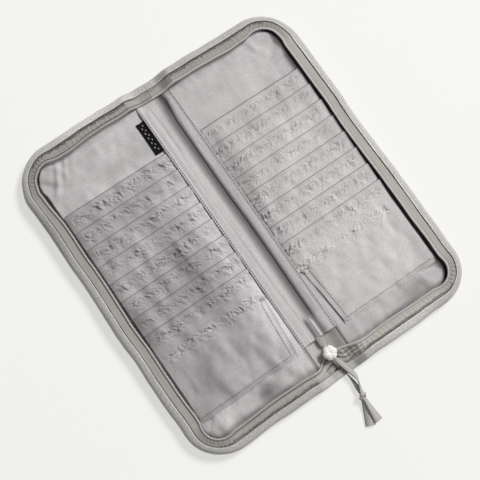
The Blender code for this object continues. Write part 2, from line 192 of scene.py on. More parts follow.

# Places where the lining and the pockets sag: distance from the spine, y, half width, half length,
# and how much painted shade the cloth gets there, which also sets how far it sags
SAGS = {
    -1: ((65, -15, 6.5, 46, 0.32), (90, -5, 5.5, 40, 0.27), (103, -48, 6, 56, 0.33),
         (66, -92, 6, 12, 0.3), (69, 45, 9, 9, 0.3), (108, -96, 9, 20, 0.32),
         (53, 30, 6, 12, 0.2), (53, -55, 6, 18, 0.1), (28, -28, 7, 34, -0.16),
         (43, -115, 7, 22, -0.1), (114, -25, 5, 20, -0.12), (60, 2, 3.5, 40, 0.15),
         (66, -135, 9, 8, 0.74), (60, 108, 17, 12, 0.22), (78, 134, 10, 8, 0.16),
         (127, -20, 7, 150, 0.15), (128, -125, 9, 22, 0.2)),
    1: ((21, 20, 8, 80, 0.3), (30, 64, 7, 30, 0.14), (46, 12, 9, 32, 0.11), (97, -136, 16, 9, 0.42),
        (24, -136, 8, 12, 0.12), (80, 80, 45, 15, 0.12), (52, 118, 14, 10, 0.1),
        (116, -38, 8, 75, -0.1)),
}
# Painted light and shade on the lining and the pockets: distance from the spine, y, radius
# and how much lighter
CLOTH_PAINTED_LIGHT = {
    -1: ((72, -24, 55, -0.09), (112, 116, 22, -0.06)),
    1: ((60, 12, 20, 0.04), (25, 112, 12, 0.1)),
}
SAG_LEAN = 0.08
SAG_DEPTH = 4.5
# How the satin's painted lighter and darker patches slant, as x for each y
PAINTED_PATCH_SLANT = 0.45
EDGE_PUFF = {-1: 0.8, 1: 2.4}
# Painted shadow on the pockets' outer ends beside the rim, on each cover
EDGE_SHADOW = {-1: 0.32, 1: 0.0}

# Strip of cloth over the spine
STRIP_HALF_WIDTH = 18.4
STRIP_TOP_Y = 146
STRIP_BOTTOM_Y = -121.5
STRIP_CLOTH = 0.4
STRIP_SEAM_INSET = 1.5
STRIP_HEM_CLOTH = 0.75
STRIP_HEM_LIFT = 0.35
STRIP_SEAM_DIP = 0.22
SPINE_ROWS = 240
STRIP_HEM_Z = 6.1
STRIP_HEM_WIDTH = 2.6
VALLEY_Z = 2.2
STRIP_FLOOR_Z = 1.2
VALLEY_X = 6.1
VALLEY_TOP_X = 9.4
SECOND_VALLEY_X = -3.6
SECOND_VALLEY_Y = (-96, -106)
RIDGE_X = 1.8
RIDGE_HALF_WIDTH = 1.8

# Cloth that lines the spine
PATCH_HALF_WIDTH = 16.9
PATCH_BOTTOM_Y = -150.5
PATCH_TOP_Y = 150
PATCH_THICKNESS = 0.3

# A grain, such as a tooth or a stitch: how far along it each ring lies and how wide the ring is
GRAIN_RINGS = ((-1.0, 0.35), (-0.72, 0.86), (0.0, 1.0), (0.72, 0.86), (1.0, 0.35))
GRAIN_SIDES = 6

# Stitches
STITCH_PITCH = 2.6
STITCH_LENGTH = 1.6
STITCH_RADIUS = 0.32
# Pitch, length and radius of the fine stitches below each mouth
FINE_STITCH = (2.5, 1.5, 0.13)
TACK_STITCHES = 7
TACK_SIZE = (2.6, 0.22, 0.22)
EDGE_SEAM_INSET = 4.8
EDGE_STITCH_RADIUS = 0.27
# Dark grains painted along the seam between the shell and the tape, as the shadow of its puckers
SEAM_SHADOW_START_X = 24
SEAM_SHADOW_INSET = 8.7
SEAM_SHADOW_Z = 11.35
SEAM_SHADOW_PITCH = 2.1
SEAM_SHADOW_SIZE = (1.5, 0.32, 0.22)

# Slider and pull
SLIDER_Y = (-139.6, -131.6)
LOWER_PLATE_Z = (1.3, 1.8)
UPPER_PLATE_Z = (4.7, 5.5)
WEDGE_Z = (1.75, 4.8)
BAIL_Y = -133.6
BAIL_HALF_LENGTH = 1.5
BAIL_FOOT_Z = 5.2
BAIL_RISE = 1.7
BAIL_RADIUS = 0.55
LINK_Z = 6.3
LINK_END_Y = -143.6
LINK_OVERLAP = 0.6
LINK_HALF_WIDTH = 2.3
LINK_WIRE_RADIUS = 0.42
BEAD_CENTRE = (-1.5, -137.9, 9.2)
BEAD_LOBES = 6
BEAD_RINGS = 26
BEAD_SPOKES = 144
BEAD_RADIUS = 6.7
BEAD_HOLE = 0.05
BEAD_HEIGHT = 2.1
BEAD_UNDERSIDE = 0.75
BEAD_CARVING = 0.45
BEAD_VEIN = 0.14

# Ribbon strands: how far each is cupped, then its stations as x, y, z, half width and tilt in degrees
RIBBON_STRANDS = {
    "ribbon_wide_strand": (0.25, (
        (-0.6, -142.4, 4.9, 1.3, 0), (0.2, -144.8, 5.3, 2.0, 10), (1.4, -148.5, 6.6, 2.9, 12),
        (3.2, -155.0, 6.0, 3.1, 14), (4.9, -161.0, 5.2, 3.0, 18), (6.2, -167.5, 5.4, 2.7, 38),
        (5.6, -173.0, 5.6, 2.0, 60), (3.4, -179.0, 5.2, 1.7, 40), (1.6, -184.5, 5.4, 1.9, 10),
    )),
    "ribbon_thin_strand": (0.3, (
        (-1.0, -142.6, 4.6, 0.9, 60), (-0.9, -146.0, 5.2, 1.0, 70), (-0.2, -152.0, 5.0, 1.0, 72),
        (0.9, -158.5, 3.6, 1.1, 66), (1.9, -165.0, 2.6, 1.3, 50), (2.4, -171.0, 2.6, 1.9, 24),
        (1.9, -177.0, 3.4, 2.1, 10), (1.3, -184.5, 4.6, 1.7, 0),
    )),
    "ribbon_left_tail": (0.22, (
        (0.4, -186.5, 4.6, 1.6, 0), (-0.9, -191.0, 3.8, 2.4, -14), (-3.0, -198.0, 2.7, 3.4, -16),
        (-5.4, -205.0, 2.2, 4.2, -10), (-7.6, -210.6, 1.9, 4.7, -6),
    )),
    "ribbon_right_tail": (0.3, (
        (1.0, -186.5, 5.0, 1.6, 10), (1.2, -191.0, 4.6, 2.2, 26), (0.9, -198.0, 3.9, 3.0, 24),
        (0.6, -205.0, 3.2, 3.6, 16), (0.4, -210.9, 2.6, 4.2, 8),
    )),
}
# The knot's loop: its middle, how far it reaches in x, y and z, and its cord's radius
KNOT_CENTRE = (1.0, -185.6, 4.3)
KNOT_REACH = (2.7, 1.1, 3.0)
KNOT_SKEW = 0.9
KNOT_RADIUS = 1.35
KNOT_POINTS = 40
KNOT_LOBE = ((-1.2, -184.2, 5.6), (0.6, -183.4, 7.0), (2.9, -184.6, 6.4), (3.4, -187.0, 4.6))
LOBE_POINTS = 20
LOBE_RADII = (0.8, 1.5, 0.8)

# Label
LABEL_X = (-27.4, -18.6)
LABEL_Y = (98, 131.5)
LABEL_THICKNESS = 0.35
LOZENGE_PITCH = 2.6
LOZENGE_X = (-24.2, -22.0)
LOZENGE_SIZE = (0.8, 0.45, 0.12)

# Closed end of the zipper behind the slider
TAIL_TEETH_Y = (-134.6, -125.4)
TAIL_X = -0.9
TAIL_TOOTH_PITCH = 0.72
TAIL_TOOTH_SIZE = (1.9, 0.3, 0.6)
TAIL_TAB_X = (-3.9, 2.1)
TAIL_TAB_Y = (-129.5, -120.3)
TAIL_TAB_THICKNESS = 0.4
TAIL_SEAMS_X = (-3.2, 1.4)
# Pitch, length and radius of the tab's stitches
TAIL_STITCH = (1.4, 0.9, 0.16)

# Camera: the angles, in degrees, turn it about the point it looks at
CAMERA_TARGET = (-7.9, -8.7, 0)
CAMERA_DISTANCE = 982
CAMERA_AZIMUTH = -54.2
CAMERA_ELEVATION = 77.8
CAMERA_ROLL = 19.8
CAMERA_LENS = 81.3
SENSOR_WIDTH = 36

# Linear colours
LINING_COLOUR = (0.590, 0.562, 0.568)
# One cloth on both covers: the left pockets' colour is painted shade, the right pockets' colour painted
# light
POCKET_LIT_AND_SHADED_COLOURS = {"left": (0.468, 0.443, 0.450), "right": (0.630, 0.614, 0.612)}
SHELL_COLOUR = (0.510, 0.493, 0.482)
TAPE_COLOUR = (0.395, 0.372, 0.345)
# One plastic on both covers: the left coil's colour is painted shade, the right coil's colour painted
# light
COIL_LIT_AND_SHADED_COLOURS = {"left": (0.49, 0.47, 0.455), "right": (0.64, 0.615, 0.60)}
PATCH_COLOUR = (0.485, 0.462, 0.435)
THREAD_COLOUR = (0.52, 0.51, 0.50)
DARK_THREAD_COLOUR = (0.05, 0.047, 0.045)
SEAM_SHADOW_GRAIN_COLOUR = (0.12, 0.113, 0.107)
RIBBON_COLOUR = (0.49, 0.462, 0.433)
BEAD_COLOUR = (0.86, 0.83, 0.76)
METAL_COLOUR = (0.55, 0.53, 0.50)
LABEL_COLOUR = (0.004, 0.004, 0.0045)
LABEL_MOTIF_COLOUR = (0.42, 0.42, 0.42)
FOAM_COLOUR = (0.75, 0.74, 0.70)
FLOOR_COLOUR = (0.32, 0.32, 0.317)
FLOOR_GLOW_COLOUR = (1.0, 1.0, 0.985)
FLOOR_GLOW = 0.575
FLOOR_HALF_SIZE = 4000
FLOOR_DROP = 0.05

# Cloth: distance from thread to thread, how strong the satin's streaks are, and how light the gaps
# and the threads are
SHELL_THREAD = 0.55
SATIN_THREAD = 0.36
SATIN_STREAK = 0.07
PLAIN_THREAD = 0.42
LABEL_THREAD = 0.30
TAPE_THREAD = 0.55
WEAVE_TONES = (0.74, 1.06)
RIB_TONES = (0.72, 1.05)
# Noise in the materials: how often it changes in a metre along u, v and w
SLUB_SCALES = (1900, 90)
MOTTLE_SCALE = (70, 70, 1)
BAND_SCALE = (45, 620, 1)
SPECK_SCALE = (620, 620, 1)
TAPE_GRAIN_SCALE = (120, 500, 1)
GRAIN_SCALE = 900.0

# Light: a large soft lamp up to the right, in metres and watts, and an even glow all round
KEY_PLACE = (3.75, 0.9, 3.8)
KEY_SIZE = 1.9
KEY_POWER = 300.0
KEY_COLOUR = (1.0, 0.995, 0.985)
ROOM_GLOW = 0.30


# ---------------------------------------------------------------- small maths

def ease(t):
    """Smooth step from 0 to 1."""
    t = np.clip(t, 0, 1)
    return t * t * (3 - 2 * t)


def ramp(value, start, end):
    """Rises smoothly from 0 at start to 1 at end."""
    return ease((value - start) / (end - start))


def bump(value, centre, width):
    """A bell that is 1 at its centre."""
    return np.exp(-((value - centre) / width) ** 2)


def scatter(a, b, seed):
    """A repeatable number between -1 and 1 for each pair of whole numbers."""
    mixed = np.sin(a * 127.1 + b * 311.7 + seed * 74.7) * 43758.5453
    return 2 * (mixed - np.floor(mixed)) - 1


def rumple(u, v, seed):
    """Smooth noise between -1 and 1 that changes over about one unit of u and v."""
    a, b = np.floor(u), np.floor(v)
    s, t = ease(u - a), ease(v - b)
    low = scatter(a, b, seed) * (1 - s) + scatter(a + 1, b, seed) * s
    high = scatter(a, b + 1, seed) * (1 - s) + scatter(a + 1, b + 1, seed) * s
    return low * (1 - t) + high * t


def soft_spots(spots, x, y):
    """Sum of soft round patches, each given as x, y, radius and strength."""
    total = 0 * x
    for place_x, place_y, radius, strength in spots:
        total = total + strength * bump(np.hypot(x - place_x, y - place_y), 0, radius)
    return total


def walk(line):
    """Distance walked along a line of points, at each of them."""
    return np.concatenate([[0], np.cumsum(np.linalg.norm(np.diff(line, axis=0), axis=1))])


def at(distances, run, line):
    """The places on a line of points that are some distances along it."""
    return np.column_stack([np.interp(distances, run, column) for column in np.transpose(line)])


def curve_through(points, count):
    """Points spaced evenly along a smooth curve through the given ones."""
    points = np.array(points, float)
    padded = np.vstack([2 * points[0] - points[1], points, 2 * points[-1] - points[-2]])
    fine = []
    for start in range(len(points) - 1):
        a, b, c, d = padded[start:start + 4]
        for t in np.linspace(0, 1, 16, endpoint=False):
            fine.append(0.5 * (2 * b + (c - a) * t + (2 * a - 5 * b + 4 * c - d) * t ** 2
                               + (3 * b - a - 3 * c + d) * t ** 3))
    fine = np.array(fine + [points[-1]])
    run = walk(fine)
    return at(np.linspace(0, run[-1], count), run, fine)


# ---------------------------------------------------------------- materials

class Shader:
    """A material under construction, with short ways to add and join its nodes."""

    def __init__(self, name):
        """Starts from a plain surface with nothing joined to it."""
        self.material = bpy.data.materials.new(name)
        self.material.use_nodes = True
        self.tree = self.material.node_tree
        self.surface = self.tree.nodes["Principled BSDF"]

    def node(self, kind, inputs=(), **settings):
        """A new node, with its settings and inputs filled in."""
        made = self.tree.nodes.new(kind)
        for key, value in settings.items():
            setattr(made, key, value)
        for key, value in dict(inputs).items():
            self.feed(made.inputs[key], value)
        return made

    def feed(self, socket, value):
        """Gives a socket a fixed value or another node's output."""
        if isinstance(value, bpy.types.NodeSocket):
            self.tree.links.new(value, socket)
        else:
            socket.default_value = value

    def math(self, operation, a, b=0.0):
        """One sum on two numbers."""
        return self.node("ShaderNodeMath", {0: a, 1: b}, operation=operation).outputs[0]

    def mix(self, share, a, b, blend="MIX"):
        """Two colours mixed, or blended in another way."""
        made = self.node("ShaderNodeMix", data_type="RGBA", blend_type=blend)
        self.feed(made.inputs[0], share)
        self.feed(made.inputs[6], a)
        self.feed(made.inputs[7], b)
        return made.outputs[2]

    def vary(self, share, low, high, colour=(1, 1, 1)):
        """A colour that goes from low to high times itself while share goes from 0 to 1."""
        return self.mix(share, rgba(colour, low), rgba(colour, high))

    def times(self, colour, factor):
        """A colour times another colour, or times a number."""
        return self.mix(1.0, colour, factor, "MULTIPLY")

    def place(self, scale):
        """The mesh's own u and v, in metres, times a scale for each."""
        coordinates = self.node("ShaderNodeTexCoord").outputs["UV"]
        mapping = self.node("ShaderNodeMapping", {"Vector": coordinates, "Scale": scale})
        return mapping.outputs["Vector"]

    def noise(self, scale, detail=3.0):
        """Soft random tones from 0 to 1, with so many to the metre along u and v."""
        made = self.node("ShaderNodeTexNoise", {"Vector": self.place(scale), "Scale": 1.0,
                                                "Detail": detail, "Roughness": 0.5})
        return made.outputs["Fac"]

    def weave(self, pitch_u, pitch_v):
        """Height of a plain weave, from 0 between the threads to 1 on top of them."""
        parts = self.node("ShaderNodeSeparateXYZ",
                          {0: self.place((1 / (pitch_u * MM), 1 / (pitch_v * MM), 1))})
        u, v = parts.outputs[0], parts.outputs[1]
        warp = self.thread(u, v, 0.5)
        weft = self.thread(v, u, -0.5)
        return self.math("MAXIMUM", warp, weft)

    def wave(self, run, pitch):
        """Round ridges from 0 to 1, one for each pitch of run."""
        turn = self.math("MULTIPLY", run, math.pi / pitch)
        return self.math("ABSOLUTE", self.math("SINE", turn))

    def thread(self, across, along, swing):
        """One set of threads: round across each thread, rising and dipping along it."""
        turn = self.math("ADD", along, self.math("FLOOR", across))
        weave = self.math("SINE", self.math("MULTIPLY", turn, math.pi))
        lift = self.math("ADD", self.math("MULTIPLY", weave, swing), 0.5)
        return self.math("MULTIPLY", lift, self.wave(across, 1))

    def mesh_shade(self):
        """The painted light and shade that the mesh carries at each point."""
        return self.node("ShaderNodeAttribute", attribute_name="shade").outputs["Fac"]

    def relief(self, height, depth):
        """Raises the surface by depth millimetres where height is 1."""
        made = self.node("ShaderNodeBump", {"Height": height, "Distance": depth * MM})
        self.feed(self.surface.inputs["Normal"], made.outputs["Normal"])

    def set(self, **inputs):
        """Fills in the surface's inputs by name."""
        for key, value in inputs.items():
            self.feed(self.surface.inputs[key.replace("_", " ")], value)


def rgba(colour, factor=1.0):
    """A colour times a number, with full cover."""
    return tuple(channel * factor for channel in colour) + (1.0,)


def cloth_material(name, colour, pitch, roughness=0.58, sheen=0.25, depth=0.10, streak=0.06,
                   mottle=0.05, speck=0.2, gloss=0.45):
    """Woven cloth: threads, gaps that are a little darker, slubs along the threads, soft mottling, and
    the mesh's painted light and shade.
    """
    shader = Shader(name)
    threads = shader.weave(pitch, pitch)
    across, along = SLUB_SCALES
    slubs = shader.math("ADD", shader.noise((along, across, 1), 2.0),
                        shader.noise((across, along, 1), 2.0))
    tone = shader.vary(shader.math("MULTIPLY", slubs, 0.5), 1 - streak, 1 + streak, colour)
    for share, low, high in (
        (shader.noise(MOTTLE_SCALE, 4.0), 1 - mottle, 1 + mottle),
        (shader.noise(BAND_SCALE, 2.0), 1 - streak, 1 + streak),
        (threads, *WEAVE_TONES),
        (shader.noise(SPECK_SCALE, 2.0), 1 - speck, 1 + speck),
    ):
        tone = shader.times(tone, shader.vary(share, low, high))
    shader.set(Base_Color=shader.times(tone, shader.mesh_shade()), Roughness=roughness,
               Sheen_Weight=sheen, Sheen_Roughness=0.45, Specular_IOR_Level=gloss)
    shader.relief(shader.math("ADD", threads, shader.math("MULTIPLY", slubs, 0.35)), depth)
    return shader.material


def ribbed_material(name, colour, pitch, depth=0.16, roughness=0.62):
    """Zipper tape: ribs across it, cut by fine threads along it, times the mesh's painted light and
    shade.
    """
    shader = Shader(name)
    parts = shader.node("ShaderNodeSeparateXYZ", {0: shader.place((1 / MM, 1 / MM, 1))})
    rib = shader.wave(parts.outputs[0], pitch)
    fine = shader.wave(parts.outputs[1], TAPE_THREAD)
    tone = shader.vary(shader.noise(TAPE_GRAIN_SCALE), 0.92, 1.08, colour)
    tone = shader.times(tone, shader.vary(rib, *RIB_TONES))
    shader.set(Base_Color=shader.times(tone, shader.mesh_shade()), Roughness=roughness,
               Sheen_Weight=0.15, Specular_IOR_Level=0.35)
    shader.relief(shader.math("ADD", rib, shader.math("MULTIPLY", fine, 0.35)), depth)
    return shader.material


def plain_material(name, colour, roughness=0.6, metallic=0.0, grain=0.04, depth=0.03, coat=0.0,
                   subsurface=0.0):
    """A solid material with a slight uneven tone and a fine uneven surface."""
    shader = Shader(name)
    speck = shader.node("ShaderNodeTexNoise",
                        {"Vector": shader.node("ShaderNodeTexCoord").outputs["Object"],
                         "Scale": GRAIN_SCALE, "Detail": 3.0}).outputs["Fac"]
    shader.set(Base_Color=shader.vary(speck, 1 - grain, 1 + grain, colour), Roughness=roughness,
               Metallic=metallic, Coat_Weight=coat,
               Subsurface_Weight=subsurface, Subsurface_Scale=1.5 * MM)
    shader.relief(speck, depth)
    return shader.material


def floor_material():
    """A pale sweep that glows a little, so the shadows on it stay faint."""
    shader = Shader("pale floor")
    shader.set(Base_Color=rgba(FLOOR_COLOUR), Roughness=0.9, Specular_IOR_Level=0.1,
               Emission_Color=rgba(FLOOR_GLOW_COLOUR), Emission_Strength=FLOOR_GLOW)
    return shader.material


def make_materials():
    """Every material, by the name the pieces ask for it with."""
    pockets = {f"{side_name} pocket": cloth_material(f"{side_name} pocket cloth", colour, SATIN_THREAD,
                                                     streak=SATIN_STREAK)
               for side_name, colour in POCKET_LIT_AND_SHADED_COLOURS.items()}
    coils = {f"{side_name} coil": plain_material(f"{side_name} zipper coil with painted light and shade", colour, roughness=0.42)
             for side_name, colour in COIL_LIT_AND_SHADED_COLOURS.items()}
    return {
        **pockets,
        **coils,
        "shell": cloth_material("shell cloth", SHELL_COLOUR, SHELL_THREAD, roughness=0.66, depth=0.13,
                                streak=0.05, speck=0.55),
        "lining": cloth_material("lining cloth", LINING_COLOUR, SATIN_THREAD, streak=SATIN_STREAK),
        "patch": cloth_material("spine end cloth", PATCH_COLOUR, PLAIN_THREAD),
        "tape": ribbed_material("zipper tape", TAPE_COLOUR, TAPE_RIB_PITCH),
        "thread": plain_material("sewing thread", THREAD_COLOUR, roughness=0.55),
        "dark thread": plain_material("seam thread", DARK_THREAD_COLOUR, roughness=0.7),
        "seam shadow grain": plain_material("painted seam shadow grains", SEAM_SHADOW_GRAIN_COLOUR, roughness=0.7),
        "ribbon": cloth_material("ribbon cloth", RIBBON_COLOUR, PLAIN_THREAD, roughness=0.6, sheen=0.3),
        "bead": plain_material("carved bead", BEAD_COLOUR, roughness=0.3, coat=0.35,
                               subsurface=0.15, grain=0.05),
        "metal": plain_material("slider metal", METAL_COLOUR, roughness=0.34, metallic=0.9),
        "label": cloth_material("label cloth", LABEL_COLOUR, LABEL_THREAD, roughness=0.6, sheen=0.0,
                                gloss=0.12),
        "motif": plain_material("label motif", LABEL_MOTIF_COLOUR, roughness=0.7),
        "foam": plain_material("padding foam", FOAM_COLOUR, roughness=0.9, depth=0.2),
        "floor": floor_material(),
    }


# ---------------------------------------------------------------- meshes

def new_object(name, points, faces, material, uv=None, shade=None):
    """A smooth mesh from points in millimetres; uv holds each point's place on its cloth.

    Shade is the painted light and shade at each point, where 1 is its own colour."""
    mesh = bpy.data.meshes.new(name)
    mesh.from_pydata((np.asarray(points, float) * MM).tolist(), [], faces)
    layer = mesh.uv_layers.new(name="UVMap")
    source = np.asarray(points)[:, :2] if uv is None else np.asarray(uv)
    corners = np.zeros(len(mesh.loops), int)
    mesh.loops.foreach_get("vertex_index", corners)
    layer.data.foreach_set("uv", (source[corners] * MM).ravel())
    mesh.polygons.foreach_set("use_smooth", [True] * len(mesh.polygons))
    shades = mesh.attributes.new("shade", "FLOAT", "POINT")
    shades.data.foreach_set("value", np.ones(len(points)) if shade is None else shade)
    mesh.materials.append(material)
    mesh.update()
    made = bpy.data.objects.new(name, mesh)
    bpy.context.scene.collection.objects.link(made)
    return made


def grid_faces(rows, columns, first=0, reverse=False):
    """Quads of a grid of points that is stored row by row."""
    corner = first + np.arange(rows * columns).reshape(rows, columns)
    quads = np.stack([corner[:-1, :-1], corner[:-1, 1:], corner[1:, 1:], corner[1:, :-1]], -1)
    quads = quads.reshape(-1, 4)
    return quads[:, ::-1].tolist() if reverse else quads.tolist()


def grid_normals(points):
    """The direction a grid of points faces, at each of them."""
    normals = np.cross(np.gradient(points, axis=1), np.gradient(points, axis=0))
    length = np.linalg.norm(normals, axis=2, keepdims=True)
    return normals / np.maximum(length, 1e-9)


def closed_sheet(name, points, thickness, material, outward=(0, 0, 1), uv=None, shade=None):
    """A sheet with two faces and closed edges. Its outer face is the grid of points."""
    points = np.asarray(points, float)
    uv = points[:, :, :2] if uv is None else np.asarray(uv)
    rows, columns = points.shape[:2]
    shade = np.ones((rows, columns)) if shade is None else np.broadcast_to(shade, (rows, columns))
    normals = grid_normals(points)
    if normals[rows // 2, columns // 2] @ np.array(outward, float) < 0:
        points, uv, shade = points[:, ::-1], uv[:, ::-1], shade[:, ::-1]
        normals = grid_normals(points)
    depth = np.broadcast_to(np.asarray(thickness, float), (rows, columns))[:, :, None]
    inner = points - normals * depth
    count = rows * columns
    faces = grid_faces(rows, columns) + grid_faces(rows, columns, count, reverse=True)
    index = np.arange(count).reshape(rows, columns)
    border = np.concatenate([index[0, :-1], index[:-1, -1], index[-1, :0:-1], index[:0:-1, 0]])
    following = np.roll(border, -1)
    faces += np.stack([following, border, border + count, following + count], 1).tolist()
    stacked = np.vstack([points.reshape(-1, 3), inner.reshape(-1, 3)])
    return new_object(name, stacked, faces, material, np.vstack([uv.reshape(-1, 2)] * 2),
                      np.tile(shade.ravel(), 2))


def ring_faces(rings, sides, closed=False):
    """Quads of a tube whose points are stored ring by ring. It has two flat ends unless it closes."""
    corner = np.arange(rings * sides).reshape(rings, sides)
    after = np.roll(corner, -1, 0)
    quads = np.stack([corner, np.roll(corner, -1, 1), np.roll(after, -1, 1), after], -1)
    if closed:
        return quads.reshape(-1, 4).tolist()
    return quads[:-1].reshape(-1, 4).tolist() + [corner[0, ::-1].tolist(), corner[-1].tolist()]


def tube(name, path, radius, material, sides=8, closed=False, flat=1.0):
    """A round or flattened rod along a path."""
    path = np.asarray(path, float)
    ahead = np.roll(path, -1, 0) - np.roll(path, 1, 0) if closed else np.gradient(path, axis=0)
    ahead /= np.linalg.norm(ahead, axis=1, keepdims=True)
    aside = np.cross(ahead, (0, 0, 1.0))
    weak = np.linalg.norm(aside, axis=1) < 1e-3
    aside[weak] = (1, 0, 0)
    aside /= np.linalg.norm(aside, axis=1, keepdims=True)
    over = np.cross(aside, ahead)
    turn = np.linspace(0, 2 * math.pi, sides, endpoint=False)
    radius = np.broadcast_to(np.asarray(radius, float), (len(path),))[:, None, None]
    ring = (aside[:, None] * np.cos(turn)[None, :, None]
            + over[:, None] * np.sin(turn)[None, :, None] * flat) * radius + path[:, None]
    made = new_object(name, ring.reshape(-1, 3), ring_faces(len(path), sides, closed), material)
    face_outwards(made)
    return made


def face_outwards(thing):
    """Makes every face of a closed mesh look outwards."""
    work = bmesh.new()
    work.from_mesh(thing.data)
    bmesh.ops.recalc_face_normals(work, faces=work.faces)
    work.to_mesh(thing.data)
    work.free()


def grain_shape(half_length, half_width, half_height):
    """Points and faces of one small rounded grain that lies along X."""
    turn = np.arange(GRAIN_SIDES) * 2 * math.pi / GRAIN_SIDES
    points = [(along * half_length, math.cos(a) * size * half_width, math.sin(a) * size * half_height)
              for along, size in GRAIN_RINGS for a in turn]
    return np.array(points), ring_faces(len(GRAIN_RINGS), GRAIN_SIDES)


def grains(name, centres, along, size, material, up=(0, 0, 1)):
    """Many small rounded grains, such as stitches or teeth, each lying along its own direction."""
    shape, faces = grain_shape(*size)
    centres = np.asarray(centres, float)
    along = np.asarray(along, float) / np.linalg.norm(along, axis=1, keepdims=True)
    aside = np.cross(np.broadcast_to(np.array(up, float), along.shape), along)
    aside /= np.linalg.norm(aside, axis=1, keepdims=True)
    over = np.cross(along, aside)
    points = (centres[:, None] + shape[None, :, :1] * along[:, None]
              + shape[None, :, 1:2] * aside[:, None] + shape[None, :, 2:] * over[:, None])
    every = [tuple(corner + k * len(shape) for corner in face)
             for k in range(len(centres)) for face in faces]
    made = new_object(name, points.reshape(-1, 3), every, material)
    face_outwards(made)
    return made


def stitch_line(name, points, material, pitch=STITCH_PITCH, length=STITCH_LENGTH,
                radius=STITCH_RADIUS):
    """A row of stitches along a line of points."""
    points = np.asarray(points, float)
    run = walk(points)
    middles = np.arange(pitch / 2, run[-1], pitch)
    along = at(middles + length / 2, run, points) - at(middles - length / 2, run, points)
    return grains(name, at(middles, run, points), along, (length / 2, radius, radius), material)


def join(name, parts):
    """Joins several meshes into one piece."""
    work = bmesh.new()
    for part in parts:
        work.from_mesh(part.data)
    first = parts[0]
    work.to_mesh(first.data)
    work.free()
    for part in parts[1:]:
        bpy.data.objects.remove(part)
    first.name = name
    return first


def finish(thing, body, slot, *stands_for):
    """Ties a stiff piece to its body and hides the frame's parts it stands for; slot, its kind of
    material, is not used.
    """
    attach(thing, body)
    if stands_for:
        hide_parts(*stands_for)


def settle(thing, side_name, crosses=False):
    """Lets a piece of a cover follow it; a piece that reaches onto the spine only has its place baked
    into its mesh.
    """
    if crosses:
        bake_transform(thing)
    else:
        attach(thing, side_name + "_cover")


def finish_sheet(sheet, side_name, stands_for=(), crosses=False):
    """Settles a sewn sheet of a cover as settle does, and hides the frame's parts it stands for."""
    settle(sheet, side_name, crosses)
    if stands_for:
        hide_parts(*stands_for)


# ---------------------------------------------------------------- the rim

def edge_stretch(x, y, normal_x, normal_y):
    """A stretch of the outer edge: x, y and the outward normal at each of its points."""
    return np.stack(np.broadcast_arrays(x, y, normal_x, normal_y), -1)


def rounded_corner(centre, radius, start):
    """A quarter of a circle of the outer edge, clockwise from an angle off the Y axis."""
    angle = start + np.arange(0, math.pi / 2, PATH_STEP / radius)
    normal_x, normal_y = np.sin(angle), np.cos(angle)
    return edge_stretch(centre[0] + radius * normal_x, centre[1] + radius * normal_y, normal_x, normal_y)


def edge_path(side):
    """Walks round one cover's outer edge, from the spine's top end to its bottom end.

    Each row is x, y, outward normal x, outward normal y and the distance walked."""
    top = (HALF_WIDTH - TOP_RADIUS, HALF_LENGTH - TOP_RADIUS)
    low = (HALF_WIDTH - LOW_RADIUS, LOW_RADIUS - HALF_LENGTH)
    path = np.vstack([
        edge_stretch(np.arange(0, top[0], PATH_STEP), HALF_LENGTH, 0, 1),
        rounded_corner(top, TOP_RADIUS, 0),
        edge_stretch(HALF_WIDTH, np.arange(top[1], low[1], -PATH_STEP), 1, 0),
        rounded_corner(low, LOW_RADIUS, math.pi / 2),
        edge_stretch(np.append(np.arange(low[0], 0, -PATH_STEP), 0), -HALF_LENGTH, 0, -1),
    ])
    path[:, [0, 2]] *= side
    return np.column_stack([path, walk(path[:, :2])])


def rim_rise(x):
    """The rim lies low over the spine and rises to its full height on the covers."""
    return SPINE_RIM_SHARE + (1 - SPINE_RIM_SHARE) * ramp(np.abs(x), *RIM_RISE_X)


def sweep(path, insets, heights):
    """Carries a profile along the rim. Both arrays have one row per path point."""
    run = path[:, None, 4]
    side = np.sign(path[len(path) // 2, 0])
    steady = ramp(np.abs(path[:, None, 0]), 0, 30)
    corner = 2 * np.abs(path[:, None, 2] * path[:, None, 3]) * ramp(heights, 0.4, 3)
    wander = 0.7 * rumple(run / 34, 0 * run, 60 + side) + 0.25 * rumple(run / 12, 0 * run, 63)
    shift = soft_spots(ZIPPER_SHIFTS[int(side)], path[:, None, 0], path[:, None, 1])
    shift = shift * ramp(insets, 5, 15) * ramp(heights, 4, 9)
    drift = insets * (1 - CORNER_SQUEEZE * corner) + steady * wander + shift
    x = path[:, None, 0] - path[:, None, 2] * drift
    y = path[:, None, 1] - path[:, None, 3] * drift
    sag = 1 + 0.07 * steady * rumple(run / 27, 0 * run, 66 + side)
    return np.stack([x, y, heights * rim_rise(x) * sag], -1)


def sweep_uv(path, insets, heights):
    """Distance walked, and distance along the profile."""
    steps = np.hypot(np.diff(insets, axis=1), np.diff(heights, axis=1))
    across = np.concatenate([np.zeros((len(path), 1)), np.cumsum(steps, axis=1)], axis=1)
    run = np.broadcast_to(path[:, None, 4], across.shape)
    return np.stack([run, across], -1)


def shell_shade(side, path, profile):
    """A painted highlight along the folded seam, and painted light and shade on the rim."""
    run = path[:, None, 4]
    order = np.arange(len(profile)) / (len(profile) - 1)
    edge = bump(profile[:, 0], 7.2, 0.6) * (order > 0.6) * (profile[:, 1] > 10.9)
    glint = SEAM_GLINT[side] * edge[None, :] * (0.8 + 0.4 * rumple(run / 15, 0 * run, 10 + side))
    glint = glint * (0.3 + 0.7 * path[:, None, 2] ** 2)
    return 1 + glint + soft_spots(RIM_PAINTED_LIGHT[side], path[:, None, 0], path[:, None, 1])


